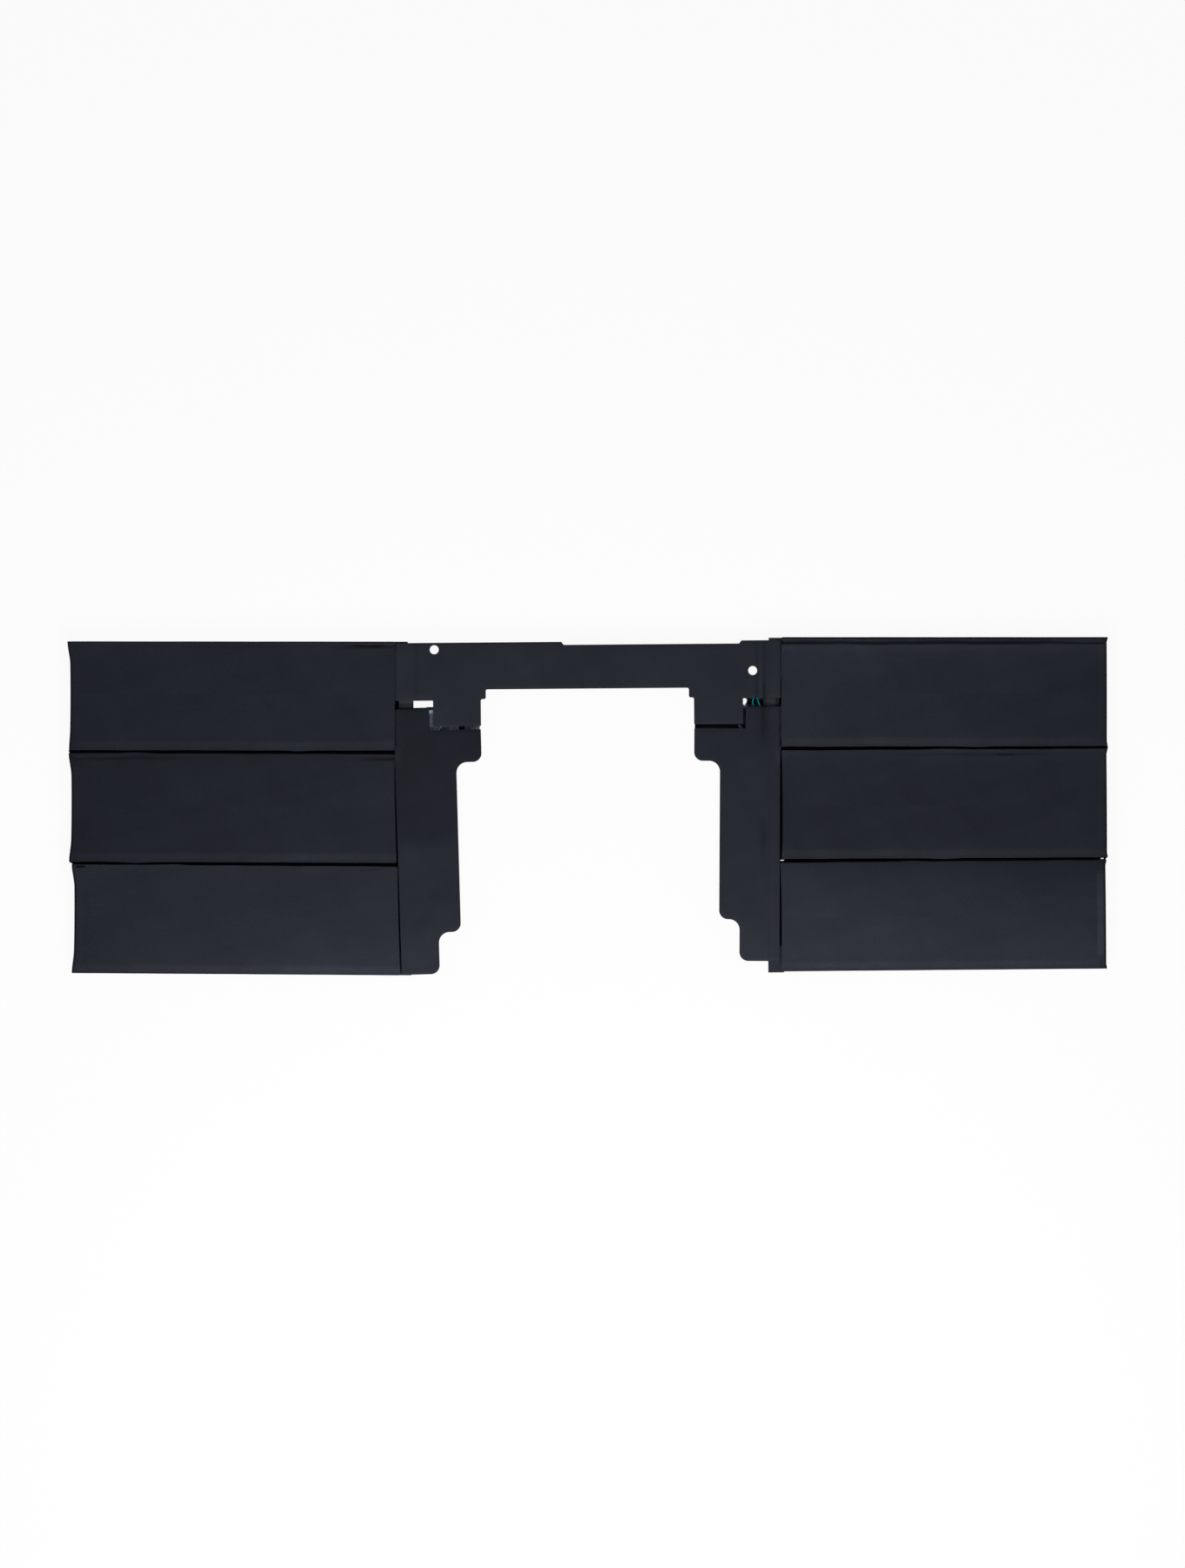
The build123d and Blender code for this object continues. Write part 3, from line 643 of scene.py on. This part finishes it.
    # Painted shade in the grooves behind the cells and a painted highlight on their lips.
    dim = GROOVE_SHADE * (1.0 - 0.6 * smooth_step(0.75 * span, 0.98 * span, x))
    dark = np.minimum(4 * behind, 1.0) * hump(side, seam - 0.1 * MM, 1.1 * pouch.deep_width)
    shade = shade * (1.0 - dim * dark) * (1.0 + LIP_HIGHLIGHT * lip)
    # Painted shade on the strip between the deep groove and the rear edge.
    past_groove = (deep & ~at_front) * (1.0 - smooth_step(seam - 0.5 * MM, seam, side))
    shade = shade * (1.0 - SEAM_SHADE * past_groove)

    foot = pouch.seam_bottom * (1.0 - smooth_step(seam - 0.2 * MM, seam + 0.9 * MM, side))
    foot = foot + pouch.seam_round - quarter_round(side, pouch.seam_round)
    bottom = np.maximum(foot, pouch.cup_foot - quarter_round(np.minimum(x, outer), pouch.cup_foot))
    bottom = bottom + pinch * (pouch.ear_bottom - bottom)

    drift = pouch.seam_drift * (ripple(x, 29 * MM, hand) - 1.0)
    lean = pouch.seam_lean * np.exp(-((x - span * (0.3 + 0.1 * (5 * seed % 6))) / (4 * MM)) ** 2)
    spread = np.where(at_front, 0.0, 0.15 * MM * deep) * (1.0 - x / span)
    drift = np.where(beside_gap, drift + lean, 0.2 * drift + spread)
    top_y = y + np.sign(y) * drift * (1.0 - smooth_step(0.0, 3 * MM, side))

    cup = [np.stack([x + corner + bow, top_y, top], -1), np.stack([x + bow, y, bottom], -1)]
    shell = closed_grid(*cup, pouch.waist)
    shell_shade = np.ones(len(shell[0]))
    shell_shade[:shade.size] = shade.ravel()
    *seal, seal_shade = end_seal(pouch, width, side_name, row, front)
    return *join(shell, seal), PLAIN_SHADE * np.concatenate([shell_shade, seal_shade])


def cell_light_and_tone(points, size, front, tone_and_light):
    """How pale a cell is painted at each place: its own tone, with painted light and shade across its face
    and along its rear and front edges.
    """
    outward = np.clip(points[:, 0] / size[0], 0.0, 1.0)
    forward = 0.5 + np.clip(front * points[:, 1] / size[1], -0.5, 0.5)
    along, across = outward - 0.5, forward - 0.5
    terms = (1.0, along, across, along * across, np.exp(-forward / 0.1), np.exp((forward - 1.0) / 0.1))
    return sum(tone * term for tone, term in zip(tone_and_light, terms))


def film_outline(node):
    """Corner points and edges round the top of a flat CAD node."""
    shape = bmesh.new()
    shape.from_mesh(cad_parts[node].data)
    bmesh.ops.remove_doubles(shape, verts=shape.verts, dist=0.0005 * MM)
    top = {face for face in shape.faces if face.normal.z > 0.9}
    edges = [e for e in shape.edges if sum(face in top for face in e.link_faces) == 1]
    corners = sorted({v for e in edges for v in e.verts}, key=lambda v: v.index)
    number = {v: i for i, v in enumerate(corners)}
    points = np.array([v.co[:] for v in corners])
    pairs = [(number[e.verts[0]], number[e.verts[1]]) for e in edges]
    shape.free()
    return points, pairs


def divided(points, pairs, spacing):
    """An outline with extra points along its long edges."""
    places = [tuple(p) for p in points]
    cut = []
    for a, b in pairs:
        count = max(1, math.ceil(np.linalg.norm(points[b] - points[a]) / spacing))
        chain = [a]
        for k in range(1, count):
            places.append(tuple(points[a] + (points[b] - points[a]) * k / count))
            chain.append(len(places) - 1)
        chain.append(b)
        cut.extend(zip(chain[:-1], chain[1:]))
    return np.array(places), cut


def edge_distance(places, points, pairs):
    """Distance of each place from the nearest edge of an outline, in plan."""
    nearest = np.full(len(places), np.inf)
    for a, b in pairs:
        start, run = points[a, :2], points[b, :2] - points[a, :2]
        t = np.clip(((places - start) @ run) / (run @ run), 0.0, 1.0)
        nearest = np.minimum(nearest, np.linalg.norm(places - start - t[:, None] * run, axis=1))
    return nearest


def within(places, points, pairs):
    """Which places lie inside an outline with holes."""
    crossings = np.zeros(len(places), int)
    for a, b in pairs:
        (ax, ay), (bx, by) = points[a, :2], points[b, :2]
        spans = (ay > places[:, 1]) != (by > places[:, 1])
        if ay != by:
            at = ax + (places[:, 1] - ay) * (bx - ax) / (by - ay)
            crossings += spans & (places[:, 0] < at)
    return crossings % 2 == 1


def film_shape(node, spacing, rise, torn=None):
    """A film cut to a CAD node's outline, lifted by a height at each place and open where it is torn."""
    points, pairs = divided(*film_outline(node), spacing)
    low, high = points.min(0), points.max(0)
    across, along = (np.arange(low[k] + 0.5 * spacing, high[k], spacing) for k in (0, 1))
    grid = np.stack(np.meshgrid(across, along, indexing="ij"), -1).reshape(-1, 2)
    grid = grid[within(grid, points, pairs)]
    grid = grid[edge_distance(grid, points, pairs) > 0.45 * spacing]
    plan = np.concatenate([points[:, :2], grid])
    made, _, faces, *_ = delaunay_2d_cdt([tuple(p) for p in plan], pairs, [], 0, 1e-9)
    plan = np.array([tuple(p) for p in made])
    faces = np.array(faces)
    faces = faces[within(plan[faces].mean(1), points, pairs)]
    if torn:
        faces = faces[~torn(*plan[faces].mean(1).T)]
    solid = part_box(node)
    thickness = solid[1].z - solid[0].z
    top = high[2] + rise(plan[:, 0], plan[:, 1], edge_distance(plan, points, pairs))
    count = len(plan)
    shell = np.concatenate([np.column_stack([plan, top]), np.column_stack([plan, top - thickness])])
    sides = np.concatenate([faces[:, [0, 1]], faces[:, [1, 2]], faces[:, [2, 0]]])
    keys = np.sort(sides, axis=1)
    _, first, uses = np.unique(keys, axis=0, return_index=True, return_counts=True)
    rim = sides[first[uses == 1]]
    walls = np.concatenate([np.column_stack([rim[:, 0], rim[:, 1], rim[:, 1] + count]),
                            np.column_stack([rim[:, 0], rim[:, 1] + count, rim[:, 0] + count])])
    return shell, np.concatenate([faces, faces[:, ::-1] + count, walls])


class BATTERY_OT_pouch_cells(bpy.types.Operator):
    """Build the pouch cells over their solids"""

    bl_idname = "battery.pouch_cells"
    bl_label = "Pouch cells"

    def execute(self, context):
        pouch = context.scene.battery_pouch
        finish = laminate_finish(pouch)
        for seed, (side, row) in enumerate((s, r) for s in SIDES for r in ROWS):
            node = f"cell_{side}_{row}"
            middle, out, across = lie_of(node)
            solid = solid_points(node)
            reach = (solid[:, :2] - middle) @ out
            spread = (solid[:, :2] - middle) @ across
            span = reach.max() - reach.min() - pouch.ear_room - pouch.seal_length
            wall = middle + out * (reach.min() + pouch.seal_length)
            wall = wall + across * (spread.max() + spread.min()) / 2
            front = np.sign(across @ (0.0, -1.0))
            size = (span, spread.max() - spread.min(), solid[:, 2].max())
            points, faces, shade = pouch_shape(pouch, size, seed, side, row, front)
            placed = points.copy()
            placed[:, :2] = wall + points[:, :1] * out + points[:, 1:2] * across
            # Painted light and shade across each cell, partly its own tone, then painted shade in its
            # creases.
            shade = shade * cell_light_and_tone(points, size, front, CELL_LIGHT_AND_TONE[side][row])
            shade = shade * (1.0 - painted(placed[:, 0], placed[:, 1], CELL_SHADE_MARKS[side]))
            add_piece(f"pouch_{side}_{row}", placed, faces, finish, node, shade=shade)
        return {"FINISHED"}


class BATTERY_OT_cover_films(bpy.types.Operator):
    """Build the matte films over the bar and the wings"""

    bl_idname = "battery.cover_films"
    bl_label = "Cover films"

    def execute(self, context):
        film = context.scene.battery_film
        bar_finish = cover_film_finish("bar_film", film.bar_tone[:])
        wing_finish = cover_film_finish("wing_film", film.wing_tone[:])
        ribbon = {side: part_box(f"{side}_link_ribbon")[end] for end, side in enumerate(SIDES)}
        wall = {side: abs(ribbon[side].x) + 0.6 * MM for side in SIDES}
        ridge, outer_hollow, inner_hollow = 6.0 * MM, 4.9 * MM, 6.8 * MM

        def rise(x, y, edge):
            soft = ripple(x + 0.4 * y, 34 * MM, 1.0) + ripple(y - 0.3 * x, 27 * MM, 2.0)
            soft = 0.5 * film.ripple * soft
            reach = np.where(x < 0, wall["left"] + x, wall["right"] - x)
            lap = film.lap * (1.0 - smooth_step(0.3 * MM, 2.6 * MM, reach))
            lap = lap * smooth_step(11 * MM, 16 * MM, y)
            fade = 0.35 + 0.65 * smooth_step(22 * MM, 32 * MM, y)
            crease = hump(reach, ridge, 0.4 * MM) - hump(reach, outer_hollow, 0.5 * MM)
            crease = crease - hump(reach, inner_hollow, 0.5 * MM)
            crease = np.where(x > 0, film.crease * crease * fade, 0.0)
            rim = film.droop * (1.0 - smooth_step(0.0, 0.9 * MM, edge))
            return soft * smooth_step(0.0, 2 * MM, edge) + crease + lap - rim

        def tucked(x, y):
            reach = np.where(x < 0, wall["left"] + x, wall["right"] - x)
            depth = np.where(x < 0, film.left_tuck, film.right_tuck)
            return depth * (1.0 - smooth_step(0.4 * MM, 1.3 * MM, reach)) * smooth_step(15 * MM, 17 * MM, y)

        # Painted light and shade on the wing films: lighter towards the front, a darker stretch further
        # back, and soft patches where the left film ripples.
        def wing_tone(x, y):
            front = -y / MM
            left = 0.87 + 0.2 * smooth_step(8.0, 13.0, front) + 0.12 * smooth_step(30.0, 45.0, front)
            right = 1.0 - 0.06 * hump(y, -9 * MM, 6 * MM) + 0.15 * smooth_step(28.0, 42.0, front)
            return np.where(x < 0, left, right) - clouded(x, y, WING_RIPPLE_SHADE)

        def crease_shade(x, y):
            shade = 1.0 + 0.05 * ripple(x + 0.6 * y, 37 * MM, 3.0)
            shade = shade + 0.04 * ripple(y - 0.5 * x, 21 * MM, 5.0)
            reach = wall["right"] - x
            behind = smooth_step(28 * MM, 29 * MM, y)
            deepest = 0.45 + 0.55 * (1.0 - smooth_step(31 * MM, 39 * MM, y))
            pair = 0.55 * hump(reach, outer_hollow, 0.5 * MM)
            pair = pair + 0.35 * hump(reach, inner_hollow, 0.55 * MM) - 0.15 * hump(reach, ridge, 0.3 * MM)
            strength = 0.35 * smooth_step(13 * MM, 24 * MM, y) + 0.2 * hump(y, -10 * MM, 6 * MM)
            single = strength * hump(reach, 5.1 * MM, 0.9 * MM)
            shade = shade - behind * deepest * pair - (1.0 - behind) * single
            shade = shade - 0.1 * hump(reach, 3.7 * MM, 0.25 * MM)
            reach = wall["left"] + x
            return shade - 0.12 * hump(reach, 5.8 * MM, 0.7 * MM) * behind

        for place, finish in (("bar", bar_finish), ("left", wing_finish), ("right", wing_finish)):
            points, faces = film_shape(f"{place}_cover_film", film.spacing, rise)
            shade = FILM_LIFT[place] * PLAIN_SHADE * crease_shade(points[:, 0], points[:, 1])
            if place in SIDES:
                # Painted shadow along the wing film's rear edge at the slot.
                corners, edges = film_outline(f"{place}_cover_film")
                long = [e for e in edges if np.linalg.norm(corners[e[1]] - corners[e[0]]) > 3 * MM]
                rear = max(long, key=lambda e: corners[e[0], 1] + corners[e[1], 1])
                shade[edge_distance(points[:, :2], corners, [rear]) < 0.12 * MM] *= REAR_EDGE_SHADOW[place]
                shade *= wing_tone(points[:, 0], points[:, 1])
            tuck = tucked(points[:, 0], points[:, 1])
            # Painted shadow in the seam where the films run in against the rear cells.
            line = np.where(points[:, 0] < 0, 0.5, 0.75 + 0.25 * ripple(points[:, 1], 13 * MM, 2.0))
            full = np.where(points[:, 0] < 0, film.left_tuck, film.right_tuck)
            shade *= 1.0 - line * smooth_step(0.8, 1.0, tuck / full)
            if place == "left":
                outer = max(edges, key=lambda e: np.linalg.norm(corners[e[1]] - corners[e[0]]))
                lean = np.interp(points[:, 1] / MM, *WING_LEAN) * MM
                lean = lean * (1.0 - smooth_step(15 * MM, 17 * MM, points[:, 1]))
                from_edge = edge_distance(points[:, :2], corners, [outer])
                tuck += lean * (1.0 - smooth_step(0.0, 1.3 * MM, from_edge))
            points[:, 0] += np.sign(points[:, 0]) * tuck
            add_piece(f"{place}_film_sheet", points, faces, finish, f"{place}_cover_film",
                      sharp=50.0, shade=shade)
        return {"FINISHED"}


class BATTERY_OT_slit_pieces(bpy.types.Operator):
    """Build the bridge tapes and finish the ribbons and leads that show in the slits"""

    bl_idname = "battery.slit_pieces"
    bl_label = "Slit pieces"

    def execute(self, context):
        film = context.scene.battery_film
        tape = reflecting_tape_finish("bridge_tape", film.tape_tone[:], film.reflection_tone[:])
        ribbon = cover_film_finish("ribbon", film.ribbon_tone[:])
        slot = {side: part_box(f"{side}_link_ribbon") for side in SIDES}

        def wrinkled(x, y, edge):
            folds = ripple(x + 0.8 * y, 5.2 * MM, 1.0) * ripple(y - 0.5 * x, 7.3 * MM, 3.0)
            return film.wrinkle * (folds - 1.0) * smooth_step(0.0, 1 * MM, edge)

        def torn(x, y):
            inner = 43.95 * MM + 0.35 * MM * ripple(y, 1.9 * MM, 2.0)
            return (x > 0) & (x < inner) & (y > 28.4 * MM + 0.2 * MM * ripple(x, 1.3 * MM, 1.0))

        def sagging(x, y, edge):
            middle = (slot["left"][0].y + slot["left"][1].y) / 2
            return -film.sag * np.maximum(1.0 - ((y - middle) / (1.2 * MM)) ** 2, 0.0)

        for side in SIDES:
            points, faces = film_shape(f"{side}_bridge_tape", 0.13 * MM, wrinkled, torn)
            # Painted highlights and reflections on the tapes' upper faces; their undersides stay dark.
            shade = painted(points[:, 0], points[:, 1], TAPE_REFLECTIONS[side])
            shade[len(shade) // 2:] = 0.0
            add_piece(f"{side}_bridge_tape_sheet", points, faces, tape, f"{side}_bridge_tape", shade=shade)
            points, faces = film_shape(f"{side}_link_ribbon", 0.3 * MM, sagging)
            shade = 1.0 - painted(points[:, 0], points[:, 1], RIBBON_PATCHES[side])
            shade = PLAIN_SHADE * RIBBON_LIFT[side] * shade
            points[:, 0] -= np.sign(points[:, 0]) * film.ribbon_shift
            add_piece(f"{side}_ribbon_strip", points, faces, ribbon, f"{side}_link_ribbon", shade=shade)
        dress(moulded_finish("lead_insulation", film.lead_tone[:], 0.25, 0.05),
              "inner_sense_lead", "outer_sense_lead")
        return {"FINISHED"}


def slit_strip_shape(node):
    """A foam strip that runs on past both ends of its CAD node and has a short slit near each end."""
    solid = solid_points(node)
    low, high = solid[:, 2].min(), solid[:, 2].max()
    corners = solid[solid[:, 2] < low + 0.001 * MM][:, :2]
    corners = np.unique(np.round(corners, 7), axis=0)
    inner, outer = (pair[np.argsort(-pair[:, 1])] for pair in (corners[:2], corners[-2:]))
    span = np.linalg.norm(outer - inner, axis=1).mean()
    start, stop, inner_rear, inner_front = STRIP_SLITS["inner"]
    first, last, outer_rear, outer_front = STRIP_SLITS["outer"]
    blocks = [(-stop * MM, span + first * MM, 0.0, 1.0)]
    slits = ((-(start + 1.0) * MM, -stop * MM, inner_rear, inner_front),
             (span + first * MM, span + (last + 0.5) * MM, outer_rear, outer_front))
    for near, far, rear, front in slits:
        blocks += [(near, far, 0.0, rear), (near, far, front, 1.0)]
    blocks += [(-(start + 1.0) * MM, -start * MM, 0.0, 1.0),
               (span + last * MM, span + (last + 0.5) * MM, 0.0, 1.0)]
    faces = np.array([[3, 2, 1, 0], [4, 5, 6, 7], [0, 1, 5, 4], [1, 2, 6, 5], [2, 3, 7, 6], [3, 0, 4, 7]])
    shapes = []
    for near, far, rear, front in blocks:
        plan = []
        for u, v in ((near, rear), (far, rear), (far, front), (near, front)):
            ends = [end[0] + (end[1] - end[0]) * v for end in (inner, outer)]
            plan.append(ends[0] + (ends[1] - ends[0]) * u / span)
        plan = np.array(plan)
        shapes.append((np.concatenate([np.column_stack([plan, np.full(4, z)]) for z in (low, high)]), faces))
    return join(*shapes)


class BATTERY_OT_gap_strips(bpy.types.Operator):
    """Finish the black foam strips between the cells, which also stand in for the shade down in the gaps,
    and build the one with slits
    """

    bl_idname = "battery.gap_strips"
    bl_label = "Gap strips"

    def execute(self, context):
        # Black foam that also stands in for the shade down in the gaps.
        foam = moulded_finish("gap_foam", (0.002, 0.002, 0.0022), 0.85, 0.05)
        dress(foam, "gap_strip_left_rear", "gap_strip_left_front", "gap_strip_right_rear")
        add_piece("slit_strip", *slit_strip_shape("gap_strip_right_front"), foam, "gap_strip_right_front")
        return {"FINISHED"}


class BATTERY_OT_hidden_side(bpy.types.Operator):
    """Finish the boards, tabs, circuit and socket on the hidden side"""

    bl_idname = "battery.hidden_side"
    bl_label = "Hidden side"

    def execute(self, context):
        film = context.scene.battery_film
        dress(board_finish(), "protection_board", "left_tab_board", "right_tab_board")
        dress(gloss_film_finish("back_film", film.back_tone[:], scaled(film.back_tone, 1.8), 0.22),
              "bar_back_film", "left_back_film", "right_back_film")
        dress(gloss_film_finish("formed_cover", (0.007, 0.007, 0.008), (0.012, 0.012, 0.013), 0.3),
              "circuit_cover")
        cells = [(side, row) for side in SIDES for row in ROWS]
        lengthwise = (0.05, 1.0, 1.0)
        dress(strip_finish("aluminium_strip", (0.78, 0.78, 0.8), 0.3, lengthwise),
              *[f"positive_tab_{side}_{row}" for side, row in cells])
        dress(strip_finish("nickel_strip", (0.6, 0.57, 0.52), 0.28, lengthwise),
              *[f"negative_tab_{side}_{row}" for side, row in cells],
              *[f"{pole}_weld_plate_{side}_{row}"
                for pole in ("positive", "negative") for side, row in cells])
        dress(moulded_finish("chip_resin", (0.012, 0.012, 0.013), 0.45), "gauge_chip", "charge_switch",
              "discharge_switch")
        dress(moulded_finish("fuse_ceramic", (0.6, 0.57, 0.48), 0.5), "pack_fuse")
        dress(strip_finish("shunt_alloy", (0.42, 0.4, 0.38), 0.35, lengthwise), "current_shunt")
        dress(moulded_finish("thermistor_ceramic", (0.2, 0.16, 0.12), 0.5), "thermistor")
        dress(moulded_finish("socket_housing", (0.018, 0.018, 0.019), 0.5), "output_socket")
        dress(strip_finish("gold_contact", (0.85, 0.6, 0.25), 0.2, (1.0, 1.0, 0.05)), "socket_contacts")
        return {"FINISHED"}


def soft_lamp(name, place, aim, size, power):
    """A square lamp that faces a point."""
    light = bpy.data.lights.new(name, "AREA")
    light.size = size
    light.energy = power
    lamp = bpy.data.objects.new(name, light)
    bpy.context.scene.collection.objects.link(lamp)
    lamp.location = place
    lamp.visible_camera = False
    lamp.rotation_euler = (lamp.location - aim).to_track_quat("Z", "Y").to_euler()
    return lamp


def floor_finish(stage):
    """Pale floor that is white to the camera and keeps a soft shadow."""
    finish, tree, shader = new_finish("floor")
    shader.inputs["Base Color"].default_value = (*stage.floor_tone, 1.0)
    shader.inputs["Roughness"].default_value = 0.9
    shader.inputs["Specular IOR Level"].default_value = 0.0
    rays = tree.nodes.new("ShaderNodeLightPath")
    seen = rays.outputs["Is Camera Ray"]
    for ray in ("Is Glossy Ray", "Is Transmission Ray"):
        either = tree.nodes.new("ShaderNodeMath")
        either.operation = "MAXIMUM"
        tree.links.new(seen, either.inputs[0])
        tree.links.new(rays.outputs[ray], either.inputs[1])
        seen = either.outputs["Value"]
    share = tree.nodes.new("ShaderNodeMath")
    share.operation = "MULTIPLY"
    share.inputs[1].default_value = FLOOR_WHITE
    tree.links.new(seen, share.inputs[0])
    white = tree.nodes.new("ShaderNodeEmission")
    mix = tree.nodes.new("ShaderNodeMixShader")
    tree.links.new(share.outputs["Value"], mix.inputs["Fac"])
    tree.links.new(shader.outputs["BSDF"], mix.inputs[1])
    tree.links.new(white.outputs["Emission"], mix.inputs[2])
    tree.links.new(mix.outputs["Shader"], tree.nodes["Material Output"].inputs["Surface"])
    return finish


class BATTERY_OT_stage(bpy.types.Operator):
    """Set the floor, the light and the camera"""

    bl_idname = "battery.stage"
    bl_label = "Stage"

    def execute(self, context):
        scene = context.scene
        stage = scene.battery_stage
        half = stage.floor_size / 2
        mesh = bpy.data.meshes.new("floor")
        corners = [(-half, -half, 0), (half, -half, 0), (half, half, 0), (-half, half, 0)]
        mesh.from_pydata(corners, [], [(0, 1, 2, 3)])
        mesh.materials.append(floor_finish(stage))
        floor = bpy.data.objects.new("floor", mesh)
        scene.collection.objects.link(floor)
        floor.location.z = -0.05 * MM
        floor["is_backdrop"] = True
        world = scene.world or bpy.data.worlds.new("studio")
        scene.world = world
        world.use_nodes = True
        tree = world.node_tree
        backdrop = tree.nodes["Background"]
        rays = tree.nodes.new("ShaderNodeLightPath")
        strength = level(tree, rays.outputs["Is Camera Ray"], WORLD_LIGHT, 1.0, 0.0, 1.0)
        tree.links.new(strength, backdrop.inputs["Strength"])
        backdrop.inputs["Color"].default_value = (1.0, 1.0, 1.0, 1.0)
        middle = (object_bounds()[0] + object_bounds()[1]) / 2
        soft_lamp("front_softbox", (0.0, -0.24, 0.26), middle, 0.25, 1.1)
        for side, reach in (("left", -1.0), ("right", 1.0)):
            soft_lamp(f"{side}_softbox", (reach, 0.2, 0.6), middle, 0.8, 2.4)
        lens = bpy.data.cameras.new("camera")
        lens.sensor_fit = "VERTICAL"
        lens.sensor_height = 36.0
        tall = stage.view_width * PHOTO_HEIGHT / PHOTO_WIDTH
        lens.lens = lens.sensor_height * stage.camera_height / tall
        lens.clip_end = 20.0
        camera = bpy.data.objects.new("camera", lens)
        scene.collection.objects.link(camera)
        camera.location = (stage.aim_x, stage.aim_y, cad_box[1].z + stage.camera_height)
        scene.camera = camera
        scene.view_settings.view_transform = "Standard"
        return {"FINISHED"}


class BATTERY_PT_looks(bpy.types.Panel):
    """Lists the steps that dress the battery"""

    bl_label = "Laptop battery"
    bl_space_type = "VIEW_3D"
    bl_region_type = "UI"
    bl_category = "Battery"

    def draw(self, context):
        for operator in OPERATORS:
            self.layout.operator(operator.bl_idname)


SETTINGS = {"battery_pouch": PouchSettings, "battery_film": FilmSettings, "battery_stage": StageSettings}
OPERATORS = (
    BATTERY_OT_pouch_cells,
    BATTERY_OT_cover_films,
    BATTERY_OT_slit_pieces,
    BATTERY_OT_gap_strips,
    BATTERY_OT_hidden_side,
    BATTERY_OT_stage,
)


def register():
    for group in (*SETTINGS.values(), *OPERATORS, BATTERY_PT_looks):
        bpy.utils.register_class(group)
    for name, group in SETTINGS.items():
        setattr(bpy.types.Scene, name, bpy.props.PointerProperty(type=group))


def unregister():
    for name in SETTINGS:
        delattr(bpy.types.Scene, name)
    for group in reversed((*SETTINGS.values(), *OPERATORS, BATTERY_PT_looks)):
        bpy.utils.unregister_class(group)


def main():
    register()
    bpy.ops.battery.pouch_cells()
    bpy.ops.battery.cover_films()
    bpy.ops.battery.slit_pieces()
    bpy.ops.battery.gap_strips()
    bpy.ops.battery.hidden_side()
    bpy.ops.battery.stage()


if __name__ == "__main__":
    main()
